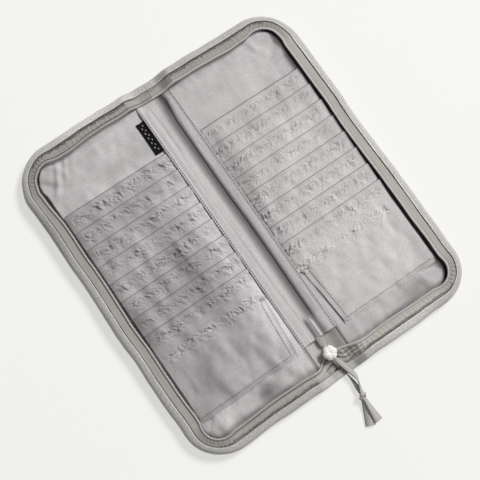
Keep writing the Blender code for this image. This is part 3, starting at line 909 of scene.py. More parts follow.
def make_shell(side_name, materials):
    """Outer cloth of one cover: rounded wall, folded seam on top and flat underside."""
    side = SIDES[side_name]
    path = edge_path(side)
    profile = curve_through(SHELL_PROFILE, SHELL_PROFILE_POINTS)
    run = path[:, None, 4]
    level = np.arange(len(profile))[None, :]
    insets = np.broadcast_to(profile[:, 0], (len(path), len(profile))).copy()
    heights = np.broadcast_to(profile[:, 1], insets.shape).copy()
    seed = 3 + side
    dents = 0.35 * rumple(run / 23, level / 30, seed) + 0.12 * rumple(run / 6, level / 9, seed)
    insets -= bump(heights, 6, 4.5) * dents
    waves = 0.16 * rumple(run / 17, level * 0, seed + 5) + 0.07 * rumple(run / 4, level / 5, seed)
    heights += ramp(heights, 8, 11) * waves
    wall = closed_sheet(side_name + "_shell_wall", sweep(path, insets, heights), SHELL_CLOTH,
                        materials["shell"], (side, 0, 0), sweep_uv(path, insets, heights),
                        shell_shade(side, path, profile))
    underside = flat_cover(side, 0, UNDERSIDE_INSET, UNDERSIDE_STEP, UNDERSIDE_Z)
    base = closed_sheet(side_name + "_shell_base", underside, UNDERSIDE_CLOTH, materials["shell"])
    stands_for = [side_name + "_shell"] + ["spine_shell"] * (side_name == "left")
    finish_sheet(join(side_name + "_shell_cloth", [wall, base]), side_name,
                 stands_for, crosses=True)


def outline_x(y, inset):
    """How far from the spine the cover reaches at y, at some inset from its edge."""
    reach = np.full_like(y, HALF_WIDTH - inset, dtype=float)
    for radius, above in ((TOP_RADIUS, y), (LOW_RADIUS, -y)):
        over = above - (HALF_LENGTH - radius)
        span = np.sqrt(np.maximum((radius - inset) ** 2 - np.clip(over, 0, None) ** 2, 0))
        reach = np.where(over > 0, HALF_WIDTH - radius + span, reach)
    return reach


def edge_inset(x, y):
    """Distance in from the cover's outer edge, stretched where the rim is squeezed at a corner."""
    inset = np.minimum(HALF_WIDTH - np.abs(x), HALF_LENGTH - np.abs(y))
    for radius, above in ((TOP_RADIUS, y), (LOW_RADIUS, -y)):
        dx = np.abs(x) - (HALF_WIDTH - radius)
        dy = above - (HALF_LENGTH - radius)
        reach = np.maximum(np.hypot(dx, dy), 1e-6)
        squeeze = 1 - CORNER_SQUEEZE * 2 * np.abs(dx * dy) / reach ** 2
        inset = np.where((dx > 0) & (dy > 0), (radius - reach) / squeeze, inset)
    return inset


def flat_cover(side, inner_x, inset, step, z, extra_y=()):
    """A grid over one cover, rounded at its two outer corners, with some rows added."""
    half = HALF_LENGTH - inset
    y = np.sort(np.append(np.linspace(-half, half, int(2 * half / step)), extra_y))
    share = np.linspace(0, 1, int((HALF_WIDTH - inset - inner_x) / step))
    reach = outline_x(y, inset)
    x = inner_x + share[None, :] * (reach[:, None] - inner_x)
    y = np.broadcast_to(y[:, None], x.shape)
    return np.stack([side * x, y, np.full_like(x, z)], -1)


def coil_line(side_name, path):
    """Inset of the coil along the path: it leaves the rim near the slider."""
    near, far = SLIDER_PULL_X[side_name]
    low = path[:, 3] < -0.5
    pull = np.where(low, 1 - ramp(np.abs(path[:, 0]), near, far), 0)
    return COIL_INSET + (SLIDER_END_INSET - COIL_INSET) * pull, pull


def zipper_path(side_name):
    """The rim path down to the slider's mouth."""
    path = edge_path(SIDES[side_name])
    low = (path[:, 3] < -0.5) & (np.abs(path[:, 0]) < 2.2)
    return path[~low]


def tape_fan(side, path, share):
    """Ridges that gather beside each other along the tape, from -1 to 1."""
    wander = 0.8 * rumple(path[:, None, 4] / 9, share, 21 + side)
    return np.sin(2 * math.pi * (3.0 * share + wander))


def tape_corner(path):
    """How far into a corner of the rim each place on the path is."""
    return 4 * np.abs(path[:, 2] * path[:, 3])


def tape_end(path):
    """Which places on the path are on the cover's top or bottom end."""
    return np.abs(path[:, 3]) * (1 - ramp(np.abs(path[:, 0]), *TAPE_END_X))


def tape_height(side, path, pull, share, from_seam):
    """Height of the tape: ribs of puckers, worst at the slider, and a dip along each of its edges."""
    run = path[:, None, 4]
    pulled = pull[:, None]
    pucker = (0.05 + 0.9 * pull + 0.16 * tape_corner(path) + 0.16 * tape_end(path))[:, None]
    folds = np.sin(run * 2 * math.pi / PUCKER_PITCH + 2.5 * rumple(run / 7, share, 4 + side))
    swell = 0.14 * rumple(run / 14, share * 2, 8 + side)
    swell = swell + 1.15 * pulled * tape_fan(side, path, share) * (1 - ramp(share, 0.82, 0.92))
    swell = swell + 0.4 * pulled * rumple(run / 2.4, share * 9, 24 + side)
    heights = TAPE_Z + 0.35 * share + pucker * folds * (0.35 + 0.65 * share) + swell
    heights = heights - SEAM_GROOVE_DEPTH * (1 - ramp(from_seam, *SEAM_GROOVE))
    return heights - COIL_GROOVE_DEPTH[side] * ramp(share, *BESIDE_COIL)


def tape_shade(side, path, pull, share, from_seam):
    """Painted shadow in the tape's dips and folds and beside the slider, a ragged line of painted shade
    at its seam, and painted light on it.
    """
    run = path[:, None, 4]
    end = tape_end(path)
    # A ragged line of painted shade along the seam at the cover's top and bottom ends, in patches
    seam_shade_breaks = 0.5 + 0.5 * rumple(run / 2.6, 0 * run, 12 + side)
    ragged_seam_shade = bump(from_seam, 2.4 + 1.0 * rumple(run / 3.4, 0 * run, 14), 0.8)
    creased = pull[:, None] * (1 - ramp(tape_fan(side, path, share), -1, -0.45))
    side_gain, low_gain = TAPE_PAINTED_LIGHT[side]
    lit = side_gain * path[:, 2] ** 2 + low_gain * np.clip(-path[:, 3], 0, 1) ** 2
    shade = 1 - 0.3 * (1 - ramp(from_seam, SEAM_GROOVE[0], SEAM_GROOVE[1] - 0.2))
    shade = shade - COIL_GROOVE_SHADE[side] * ramp(share, *BESIDE_COIL)
    shade = shade * (1 - 0.55 * end[:, None] * ragged_seam_shade * seam_shade_breaks)
    shade = shade * (1 - 0.85 * creased) * (1 + 0.1 * rumple(run / 45, share * 9, 27 + side))
    shade = shade * (1 - 0.11 * end - 0.16 * tape_corner(path) + lit)[:, None]
    return shade * (1 - 0.4 * ramp(pull, 0.82, 1)[:, None] * (0.4 + 0.6 * share))


def make_tape(side_name, materials):
    """Zipper tape: it dips under the shell's seam and beside the coil, and puckers at the slider."""
    side = SIDES[side_name]
    path = zipper_path(side_name)
    coil, pull = coil_line(side_name, path)
    share = np.concatenate([np.linspace(0, 0.26, 10), np.linspace(0.29, 0.84, 22),
                            np.linspace(0.86, 1, 7)])[None, :]
    inner = (coil - (COIL_INSET - TAPE_INNER_INSET))[:, None]
    insets = TAPE_OUTER_INSET + share * (inner - TAPE_OUTER_INSET)
    from_seam = insets - TAPE_OUTER_INSET
    points = sweep(path, insets, tape_height(side, path, pull, share, from_seam))
    tape = closed_sheet(side_name + "_tape_cloth", points, TAPE_THICKNESS, materials["tape"],
                        uv=sweep_uv(path, insets, 0 * insets + TAPE_Z),
                        shade=tape_shade(side, path, pull, share, from_seam))
    stands_for = [side_name + "_zipper_tape", side_name + "_tape_end"]
    stands_for += ["top_tape_bridge"] * (side_name == "left")
    finish_sheet(tape, side_name, stands_for,
                 crosses=True)


def make_seam_shadow_grains(side_name, materials):
    """Dark grains, the painted shadow of the puckers along the seam between the shell and the tape, at
    both ends of the cover.
    """
    path = zipper_path(side_name)
    ends = (np.abs(path[:, 3]) > 0.8) & (np.abs(path[:, 0]) > SEAM_SHADOW_START_X)
    threads = []
    for end in (1, -1):
        row = path[ends & (path[:, 3] * end > 0)]
        line = sweep(row, np.full((len(row), 1), SEAM_SHADOW_INSET), np.full((len(row), 1), SEAM_SHADOW_Z))[:, 0]
        run = walk(line)
        middles = np.arange(SEAM_SHADOW_PITCH, run[-1], SEAM_SHADOW_PITCH)
        count = np.arange(len(middles))
        place = at(middles, run, line)
        place[:, 1] += 0.7 * scatter(count, 0 * count, 31 + end)
        lean = 0.9 * scatter(count, 0 * count, 33 + end)
        along = np.column_stack([np.sin(lean), np.cos(lean), 0 * lean])
        threads.append(grains(f"{side_name}_seam_shadow_{end}", place, along, SEAM_SHADOW_SIZE,
                              materials["seam shadow grain"]))
    finish(join(side_name + "_seam_shadow_grains", threads), side_name + "_cover", "zipper_tape")


def make_coil(side_name, materials):
    """Zipper coil: a row of rounded teeth on the tape's inner edge, over a cord."""
    path = zipper_path(side_name)
    coil = coil_line(side_name, path)[0]
    line = sweep(path, coil[:, None], np.full((len(path), 1), COIL_Z))[:, 0]
    run = walk(line)
    middles = np.arange(TOOTH_PITCH / 2, run[-1], TOOTH_PITCH)
    across = np.cross(at(middles, run, np.gradient(line, axis=0)), (0, 0, 1.0))
    material = materials[side_name + " coil"]
    teeth = grains(side_name + "_teeth", at(middles, run, line), across, TOOTH_SIZE, material)
    cord = tube(side_name + "_coil_cord", line - (0, 0, CORD_DROP), CORD_RADIUS, material, flat=0.9)
    coil_piece = join(side_name + "_coil_teeth", [teeth, cord])
    settle(coil_piece, side_name, crosses=True)
    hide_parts(side_name + "_zipper_coil", side_name + "_top_stop")


# ---------------------------------------------------------------- inside the covers

def panel_wave(side, x, y):
    """Broad soft waves shared by the lining and every pocket on it."""
    x = np.abs(x)
    wave = sum(height * rumple(x / width + y / slant, y / length, seed + side)
               for height, width, slant, length, seed in PANEL_WAVE_SIZES)
    bare = ramp(y, FIRST_MOUTH_Y - 2, FIRST_MOUTH_Y + 14)
    wave = 0.8 + PANEL_WAVE[side] * wave * (1 - 0.6 * bare)
    return wave * ramp(x, 18, 32) * (1 - ramp(x, 114, 128))


def sag(side, x, y):
    """How far the cloth hangs into its sagging places, as a share of full painted shadow."""
    total = 0 * x
    for place, middle, half_width, half_length, depth in SAGS[side]:
        across = np.abs(x) - place - SAG_LEAN * (y - middle)
        total = total + depth * bump(across, 0, half_width) * bump(y, middle, half_length)
    return total


def painted_cloth_light(side, x, y):
    """Painted light and shade on the satin: lighter and darker patches where it would lie at another
    angle to the light, a lighter band near the spine on the left cover, painted spots and the painted
    shade of the sags.
    """
    reach = np.abs(x)
    across, along = reach - PAINTED_PATCH_SLANT * y, y + PAINTED_PATCH_SLANT * reach
    tone = rumple(across / 21, along / 34, 160 + side)
    tone = tone + 0.8 * rumple(across / 9, along / 20, 170 + side)
    tone = tone + 0.45 * rumple(reach / 4.5, y / 5.5, 180 + side)
    spine_side = 0.36 * (1 - ramp(reach, 27, 47)) * (1 - ramp(y, 40, 105)) * (side < 0)
    spine_side = spine_side * ramp(y, -132, -96)
    spots = soft_spots(CLOTH_PAINTED_LIGHT[side], reach, y)
    return (1 + PATCH_PAINTED_LIGHT[side] * tone + spine_side + spots) * (1 - sag(side, x, y))


def slanting_folds(side, x, y):
    """Straight folds that cut across the cover's top outer corner."""
    turn = math.radians(FOLD_SLANT)
    across = x * math.cos(turn) + y * math.sin(turn)
    along = x * math.sin(turn) - y * math.cos(turn)
    height = 0 * x
    for place, width, rise, start, end in CORNER_FOLDS[side]:
        wander = 1.2 * rumple(along / 16, 0 * along, 160 + place)
        ends = ramp(along, start - 8, start + 4) * (1 - ramp(along, end - 14, end + 6))
        height = height + rise * bump(across, place + wander, width) * ends
    return height


def corner_fan(x, y, inset, seed):
    """Folds that fan out from the cover's outer corners."""
    round_x = np.abs(x) - (HALF_WIDTH - TOP_RADIUS)
    round_y = np.abs(y) - (HALF_LENGTH - TOP_RADIUS)
    in_corner = ramp(round_x, -22, 6) * ramp(round_y, -22, 6)
    angle = np.arctan2(np.clip(round_y + 12, 0.5, None), np.clip(round_x + 12, 0.5, None))
    fan = np.sin(angle * 8 + 1.6 * rumple(angle * 4, inset / 30, seed + 4))
    return 1.1 * in_corner * fan * bump(inset, 22, 15)


def rim_puckers(x, y, inset, seed):
    """Small puckers where the lining is drawn in at the rim."""
    along = np.where(np.abs(x) - HALF_WIDTH > np.abs(y) - HALF_LENGTH, y, x)
    puckers = 0.3 * rumple(along / 4.6, inset / 26, seed + 6)
    return (puckers + 0.35 * rumple(along / 9.5, inset / 30, seed + 7)) * bump(inset, 19, 8)


def lining_height(side, x, y):
    """Lining over the padding: soft waves, puckers drawn in at the rim, a gutter beside the coil."""
    inset = edge_inset(x, y)
    seed = 20 + side
    height = LINING_Z + 0.35 * rumple(x / 31, y / 38, seed) + 0.08 * rumple(x / 11, y / 17, seed + 2)
    height += corner_fan(x, y, inset, seed)
    height += slanting_folds(side, np.abs(x), y)
    height += rim_puckers(x, y, inset, seed)
    low_end = 1 - ramp(y, -146, -126)
    height += 0.5 * low_end * rumple(x / 7.5 + y / 30, y / 14, seed + 9)
    height += panel_wave(side, x, y) * ramp(inset, 18, 30)
    height -= SAG_DEPTH * sag(side, x, y) * ramp(inset, 16, 22)
    height += 1.2 * bump(np.abs(x), 20, 7) * ramp(-y, 60, 70) * (1 - ramp(-y, 118, 130))
    height = np.maximum(height, PADDING_TOP_Z + 0.5)
    at_top = ramp(y, HALF_LENGTH - 34, HALF_LENGTH - 26) * (1 - ramp(np.abs(x), 104, 120))
    to_rim = 4.6 * at_top * (1 - ramp(inset, 14, 25)) * ramp(np.abs(x), 19, 36)
    height += np.maximum(to_rim, EDGE_PUFF[side] * (1 - ramp(inset, 19, 36)) * ramp(np.abs(x), 60, 100))
    height = np.where(inset < 17.5, np.minimum(height, 7.9), height)
    height -= 0.9 * ramp(y, *LOW_GUTTER_Y) * (1 - ramp(inset, 16.5, 25))
    height -= GUTTER_DEPTH * (1 - ramp(inset, *GUTTER_INSETS)) * ramp(np.abs(x), *SIDE_GUTTER_X)
    return np.maximum(height, GUTTER_FLOOR_Z)


def free_edge_x(y):
    """Where the long pocket's free edge is: it leans away from the spine on its way down."""
    share = (FREE_EDGE_TOP_Y - y) / (FREE_EDGE_TOP_Y - PANEL_BOTTOM_Y)
    return FREE_EDGE_TOP_X + np.clip(share, 0, 1) * (FREE_EDGE_BOTTOM_X - FREE_EDGE_TOP_X)


def lining_shade(side, x, y):
    """Painted shadow in the gutter, along the bottom of the cover, beside the strip's hem, under the
    first pocket's mouth and under the long pocket's free edge, over the cloth's painted light and shade.
    """
    inset = edge_inset(x, y)
    reach = np.abs(x)
    side_gutter = ramp(reach, *SIDE_GUTTER_X)
    gutter = (1 - ramp(inset, GUTTER_INSETS[0] + 0.3, GUTTER_INSETS[1] + 0.2)) * side_gutter
    uneven = 1 + 0.35 * rumple(x / 17, 0 * y, 190 + side)
    low = (1 - ramp(inset, 18, 24)) * ramp(y, *LOW_GUTTER_Y) * uneven
    below_mouth = bump(y, FIRST_MOUTH_Y + 0.7, 0.6) * ramp(reach, 17, 20) * (1 - ramp(reach, 127, 129))
    slit = bump(reach, free_edge_x(y) - 0.1, 0.75) * ramp(y, *SLIT_TOP_Y) * (1 - ramp(-y, 124, 126))
    beside_hem = bump(reach, STRIP_HALF_WIDTH - 0.2, 1.2) * ramp(-y, 100, 112)
    tone = painted_cloth_light(side, x, y) * (1 - 0.55 * beside_hem) * (1 - 0.55 * low) * (1 - 0.7 * below_mouth)
    return tone * (1 - (1 - GUTTER_SHADE[side]) * gutter) * (1 - SLIT_SHADE[side] * slit)


def make_padding(side_name, materials):
    """Thin soft pad between the shell and the lining, short of the gutter."""
    points = flat_cover(SIDES[side_name], PADDING_INNER_X, PADDING_INSET, PADDING_STEP, PADDING_TOP_Z)
    edge = edge_inset(points[:, :, 0], points[:, :, 1]) - PADDING_INSET
    points[:, :, 2] -= 0.6 * (1 - ramp(edge, 0, 5))
    padding = closed_sheet(side_name + "_pad", points, PADDING_THICKNESS, materials["foam"])
    finish(padding, side_name + "_cover", "padding_foam", side_name + "_padding")


def make_lining(side_name, materials):
    """Silky lining of one cover, with finer rows where the first pocket's mouth's painted shadow lies.
    """
    side = SIDES[side_name]
    beside_mouth = FIRST_MOUTH_Y + np.arange(-0.35, 1.9, 0.3)
    points = flat_cover(side, LINING_INNER_X, LINING_OUTER_INSET, LINING_STEP, 0, beside_mouth)
    x, y = points[:, :, 0], points[:, :, 1]
    points[:, :, 2] = lining_height(side, x, y)
    lining = closed_sheet(side_name + "_lining_cloth", points, LINING_THICKNESS, materials["lining"],
                          shade=lining_shade(side, x, y))
    finish_sheet(lining, side_name,
                 [side_name + "_lining"])


def make_backing(side_name, materials):
    """Cloth that the pockets are sewn to, just above the lining."""
    side = SIDES[side_name]
    x, y = np.meshgrid(side * np.linspace(PANEL_INNER_X + 13, PANEL_OUTER_X[side] - 2.5, 60),
                       np.linspace(PANEL_BOTTOM_Y + 1.5, FIRST_MOUTH_Y - 1.5, 120))
    z = LINING_Z + 0.45 + panel_wave(side, x, y) - SAG_DEPTH * sag(side, x, y)
    backing = closed_sheet(side_name + "_backing", np.stack([x, y, z], -1), BACKING_THICKNESS,
                           materials["lining"])
    finish_sheet(backing, side_name,
                 [side_name + "_pocket_backing"])


def is_long(index):
    """The last pocket is the long one, which nothing laps over."""
    return index == POCKET_COUNT - 1


def mouth_y(index):
    """Where a pocket's mouth lies."""
    return FIRST_MOUTH_Y - index * POCKET_PITCH


def crinkle(side, x, below, seed):
    """Small puckers that a seam draws into cloth, at a distance below the pocket's mouth."""
    lean = x + 0.5 * below + 1.4 * rumple(x / 5, below / 4, seed + 5)
    drop = below + 1.3 * rumple(x / 4, below / 5, seed + 6)
    fold = sum(height * rumple(lean / width, drop / length, seed + own)
               for height, width, length, own in CRINKLE_SIZES)
    fold = fold + 0.24 * rumple(lean / 2.2, drop / 6, seed + 7) * ramp(below, 5, 8)
    near = bump(below, SEAM_BELOW_MOUTH, 3.6)
    tail = 0.5 * ramp(below, 2.0, 5) * (1 - ramp(below, 12.5, 17.5))
    patchy = 0.75 + 0.6 * rumple(x / 7, below / 12, seed + 3)
    settled = 1 - 0.92 * ramp(x, 118, 127) + SPINE_CRINKLE[side] * (1 - ramp(x, 22, 40))
    return CRINKLE[side] * fold * (near + tail) * patchy * settled


def pocket_depths(index):
    """How far below its mouth each row of a pocket lies, with close rows over the hem."""
    seen = mouth_y(index) - PANEL_BOTTOM_Y if is_long(index) else POCKET_PITCH + 1.5
    hem = np.linspace(0, HEM_ROWS_END, HEM_ROWS)
    below = np.concatenate([hem, np.arange(HEM_ROWS_END + POCKET_STEP, seen, POCKET_STEP)])
    if is_long(index):
        return below
    return np.concatenate([below, np.linspace(seen + 1, POCKET_DEPTH, HIDDEN_ROWS)])


def pocket_height(side, index, x, below, inner, outer):
    """Height of a pocket: it laps over the one before it, and its seams pucker it."""
    y = mouth_y(index) - below
    seed = 40 + 9 * index + 100 * (side > 0)
    z = POCKET_TOP_Z - POCKET_DROP * np.clip(below / POCKET_PITCH, 0, 1)
    if index == 0:
        z = z - (POCKET_TOP_Z - FIRST_POCKET_TOP_Z) * (1 - ramp(below, 0, 10))
    if not is_long(index):
        z = z - HIDDEN_DIP * ramp(below, POCKET_PITCH + 0.4, POCKET_PITCH + 7)
    z = z + 0.32 * (1 - ramp(below, *MOUTH_HEM)) - 0.3 * (1 - ramp(below, 0, 0.5))
    z = z + crinkle(side, x, below, seed) + panel_wave(side, x, y) - SAG_DEPTH * sag(side, x, y)
    z = z + EDGE_PUFF[side] * ramp(x, 112, 127)
    if is_long(index):
        second = np.abs(below - (mouth_y(index) - SECOND_SEAM_Y) + SEAM_BELOW_MOUTH)
        z = z + crinkle(side, x, second, seed + 31) * ramp(below, 15, 20)
        z = z + last_pocket_shape(side, x, y, below, inner)
    z = z - SIDE_DIP * (1 - ramp(outer - x, 0, PANEL_EDGE_SLOPE[side]))
    under_hem = UNDER_HEM_DIP * (1 - ramp(x - PANEL_INNER_X, 1.5, 6))
    return z - under_hem * (ramp(y, -66, -60) if is_long(index) else 1)


def pocket_shade(side, index, x, below, inner):
    """Painted shadow of the next pocket's mouth, of the puckers, of the rim and of the slit, over the
    cloth's painted light and shade.
    """
    y = mouth_y(index) - below
    shade = painted_cloth_light(side, x, y) * (1 - 0.1 * bump(below, 6.5, 4.5))
    beside_rim = ramp(x, 121, 129) * (1 - 0.6 * ramp(below, 3, POCKET_PITCH))
    shade = shade * (1 - EDGE_SHADOW[side] * beside_rim)
    if is_long(index):
        slit = (1 - ramp(x - inner, 0.7, 1.3)) * ramp(y, *SLIT_TOP_Y)
        return shade * (1 - SLIT_SHADE[side] * slit)
    return shade * (1 - MOUTH_SHADOW * bump(below, POCKET_PITCH - 0.25, 0.7))


def make_pocket(side_name, index, materials):
    """One slot pocket: hemmed mouth, puckered seam below it, and a part that hides under the next."""
    side = SIDES[side_name]
    below = pocket_depths(index)[:, None]
    y = mouth_y(index) - below
    inner = np.where(is_long(index) & (y < FREE_EDGE_TOP_Y), free_edge_x(y), PANEL_INNER_X)
    outer = PANEL_OUTER_X[side] - PANEL_STAGGER[side] * np.clip(below / POCKET_PITCH, 0, 1)
    columns = int((PANEL_OUTER_X[side] - PANEL_INNER_X) / POCKET_STEP)
    x = inner + np.linspace(0, 1, columns)[None, :] * (outer - inner)
    below = np.broadcast_to(below, x.shape)
    z = pocket_height(side, index, x, below, inner, outer)
    points = np.stack([side * x, mouth_y(index) - below, z], -1)
    thickness = POCKET_CLOTH + HEM_CLOTH * (1 - ramp(below, *MOUTH_HEM))
    pocket = closed_sheet(f"{side_name}_slot_{index + 1}", points, thickness,
                          materials[side_name + " pocket"],
                          shade=pocket_shade(side, index, x, below, inner))
    sew_pocket(side_name, index, points, materials)
    finish_sheet(pocket, side_name,
                 [f"{side_name}_pocket_{index + 1}"])


def sew_pocket(side_name, index, points, materials):
    """Fine seam below the mouth. The long pocket also has dark edge seams and a tack at its slit."""
    depth = mouth_y(index) - points[:, 0, 1]
    rows = [SEAM_BELOW_MOUTH] + [mouth_y(index) - SECOND_SEAM_Y] * is_long(index)
    seams = []
    for k, row in enumerate(rows):
        line = points[np.argmin(np.abs(depth - row)), 8:-8] + (0, 0, 0.06)
        seams.append(stitch_line(f"{side_name}_seam_{index + 1}_{k}", line, materials["thread"],
                                 *FINE_STITCH))
    if is_long(index):
        seams.append(make_tack(side_name, points, materials))
        sew_long_edges(side_name, points, depth, materials)
    finish(join(f"{side_name}_seam_{index + 1}", seams), side_name + "_cover", "lining_cloth")


def make_tack(side_name, points, materials):
    """Short row of stitches across the top of the slit."""
    y = np.linspace(FREE_EDGE_TOP_Y - 1.5, FREE_EDGE_TOP_Y + 1.0, TACK_STITCHES)
    row = points[np.argmin(np.abs(points[:, 0, 1] - FREE_EDGE_TOP_Y - 1))]
    height = np.interp(FREE_EDGE_TOP_X + 2, np.abs(row[:, 0]), row[:, 2]) + 0.35
    centres = [(SIDES[side_name] * (FREE_EDGE_TOP_X + 1.5), each, height) for each in y]
    along = [(1, 0.25 * (-1) ** k, 0) for k in range(TACK_STITCHES)]
    return grains(f"{side_name}_tack", centres, along, TACK_SIZE, materials["thread"])


def sew_long_edges(side_name, points, depth, materials):
    """Dark stitches along the long pocket's bottom and its free edge."""
    lift = np.array([0, 0, 0.2])
    bottom = points[np.argmin(np.abs(depth - depth[-1] + EDGE_SEAM_INSET)), 14:-8] + lift
    free = points[:, 0, 1] < FREE_EDGE_TOP_Y - 3
    from_edge = np.abs(points[-1, :, 0]) - np.abs(points[-1, 0, 0])
    down = points[free][:-8, np.argmin(np.abs(from_edge - EDGE_SEAM_INSET))] + lift
    rows = [stitch_line(f"{side_name}_edge_seam_{k}", line, materials["dark thread"],
                        radius=EDGE_STITCH_RADIUS)
            for k, line in enumerate((bottom, down))]
    finish(join(side_name + "_edge_seam", rows), side_name + "_cover", "lining_cloth")


def last_pocket_shape(side, x, y, below, inner):
    """The long pocket's own shape: a free inner edge, a sewn bottom edge and low waves."""
    from_edge = x - inner
    free = ramp(-y, 62, 70)
    shape = -0.8 * free * (1 - ramp(from_edge, 0, 9)) * (1 - 0.55 * ramp(-y, 108, 126))
    shape = shape - 1.3 * ramp(-y, 119, 125.5)
    shape = shape + 0.22 * rumple(x / 9 + y / 40, y / 11, 71 + side) * ramp(below, 20, 34)
    bottom_seam = bump(y, PANEL_BOTTOM_Y + 4.5, 0.6)
    edge_pucker = rumple(x / 3.4, y / 9, 75 + side) * bump(y, PANEL_BOTTOM_Y + 4.5, 4)
    return shape - 0.16 * (bottom_seam + bump(from_edge, 5, 0.6) * free) + 0.3 * edge_pucker


# ---------------------------------------------------------------- the spine

def valley_x(y):
    """Where the bottom of the strip's valley lies."""
    return VALLEY_X + (VALLEY_TOP_X - VALLEY_X) * ramp(y, 112, 144) + 0.5 * rumple(y / 37, 0 * y, 91)


def crease_x(y):
    """Where a thin crease wanders down the left half of the strip."""
    return -8.5 + 1.5 * rumple(y / 50, 0 * y, 92) + 0.5 * rumple(y / 13, 0 * y, 89)


def strip_height(x, y):
    """Strip over the spine: high at its two hems, with a deep soft valley between them."""
    crest = STRIP_HEM_Z - 0.4
    depth = crest - VALLEY_Z
    gap = x - valley_x(y)
    crevice = np.exp(-np.abs(gap) / np.where(gap < 0, 3.0, 2.0))
    crevice = crevice * (1 - 0.75 * ramp(-y, 94, 108))
    height = crest - depth * (0.8 * crevice + 0.2 * ramp(x, -16, 4) * (1 - ramp(x, 6, 15)))
    second = ramp(y, *SECOND_VALLEY_Y)
    height = height - 1.9 * second * bump(x, SECOND_VALLEY_X, RIDGE_HALF_WIDTH)
    height = height + 1.6 * second * bump(x, RIDGE_X, RIDGE_HALF_WIDTH)
    height = height - 0.35 * bump(x, crease_x(y), 0.9)
    height = height + 0.4 * rumple(x / 6.5, y / 40, 93) * (1 - ramp(np.abs(x), 11, 15))
    height = height + 0.16 * rumple(x / 3.5, y / 12, 94) * (1 - ramp(np.abs(x), 12, 15))
    height = height - 0.9 * ramp(-y, 112, 121)
    tucked = 1.5 + 2.6 * ramp(np.abs(x), 10, 18)
    height = height + (tucked - height) * ramp(y, 135, 146)
    return np.maximum(height, STRIP_FLOOR_Z)


def valley_shade(x, y):
    """Painted shadow in the deepest parts of the strip's two valleys, beside its right hem and along its
    crease, over faint streaks.
    """
    across = x - valley_x(y) - 0.3
    reach = 10.5 - 7 * ramp(-y, 97, 107)
    strength = 0.8 + 0.12 * ramp(y, 118, 136) - 0.1 * ramp(-y, 96, 108)
    main = strength * ramp(across, -reach, -1.5) * (1 - ramp(across, -0.5, 4.4))
    second = 0.62 * bump(x, SECOND_VALLEY_X, RIDGE_HALF_WIDTH) * ramp(y, *SECOND_VALLEY_Y)
    right_hem = 0.22 * ramp(x, 15.6, 17.4) * (1 - ramp(-y, 40, 100))
    streaks = 1 + 0.06 * rumple(x / 2.2, y / 60, 98) + 0.04 * rumple(x / 5, y / 25, 99)
    crease = 0.14 * bump(x, crease_x(y) - 0.4, 0.7) * (1 - ramp(-y, 60, 110))
    return (1 - main) * (1 - second) * (1 - right_hem) * (1 - crease) * streaks


def make_strip_half(side_name, materials):
    """Half of the strip, from the middle of the spine out to its hem on the cover."""
    side = SIDES[side_name]
    x = side * np.concatenate([np.linspace(0, 15, 32), np.linspace(15.4, STRIP_HALF_WIDTH, 10)])
    x, y = np.meshgrid(x, np.linspace(STRIP_BOTTOM_Y, STRIP_TOP_Y, SPINE_ROWS))
    reach = np.abs(x)
    hem = ramp(reach, STRIP_HALF_WIDTH - STRIP_HEM_WIDTH - 0.4, STRIP_HALF_WIDTH - STRIP_HEM_WIDTH)
    z = strip_height(x, y)
    z = z + STRIP_HEM_LIFT * hem - 0.3 * ramp(reach, STRIP_HALF_WIDTH - 0.45, STRIP_HALF_WIDTH)
    z = z - STRIP_SEAM_DIP * bump(reach, STRIP_HALF_WIDTH - STRIP_SEAM_INSET, 0.45)
    z = z + 0.12 * rumple(y / 3.1, reach / 3, 95 + side) * ramp(reach, 14.5, 16)
    strip = closed_sheet(side_name + "_spine_strip", np.stack([x, y, z], -1),
                         STRIP_CLOTH + STRIP_HEM_CLOTH * hem, materials["lining"],
                         shade=valley_shade(x, y))
    stands_for = [side_name + "_strip_hem"] + ["spine_strip"] * (side_name == "left")
    finish_sheet(strip, side_name,
                 stands_for, crosses=True)
    line_y = np.linspace(STRIP_BOTTOM_Y + 1, STRIP_TOP_Y - 2, 200)
    line_x = 0 * line_y + side * (STRIP_HALF_WIDTH - STRIP_SEAM_INSET)
    line = np.stack([line_x, line_y, strip_height(line_x, line_y) + 0.38], -1)
    finish(stitch_line(side_name + "_strip_stitches", line, materials["dark thread"]),
           side_name + "_cover", "spine_cloth")


def make_spine_patch(side_name, materials):
    """Half of the cloth that lines the spine and shows below the strip's end."""
    side = SIDES[side_name]
    x, y = np.meshgrid(side * np.linspace(0, PATCH_HALF_WIDTH, 40),
                       np.linspace(PATCH_BOTTOM_Y, PATCH_TOP_Y, SPINE_ROWS))
    reach = np.abs(x)
    z = 0.95 + 2.75 * ramp(reach, 7, PATCH_HALF_WIDTH) + 0.3 * rumple(x / 9, y / 11, 97)
    z = z - (1.6 * ramp(-y, 141, 149) + 0.6 * ramp(y, 130, 150)) * ramp(reach, 8, 14)
    # Painted shade along the patch's border and over its half on the right cover's side
    border = 1 - 0.5 * ramp(reach, PATCH_HALF_WIDTH - 0.9, PATCH_HALF_WIDTH - 0.3)
    turned_away_shade = 1 - 0.24 * ramp(x, 0, 8)
    patch = closed_sheet(side_name + "_spine_patch", np.stack([x, y, z], -1), PATCH_THICKNESS,
                         materials["patch"], shade=border * turned_away_shade)
    finish_sheet(patch, side_name,
                 ["spine_lining"] * (side_name == "left"), crosses=True)


# ---------------------------------------------------------------- slider and pull

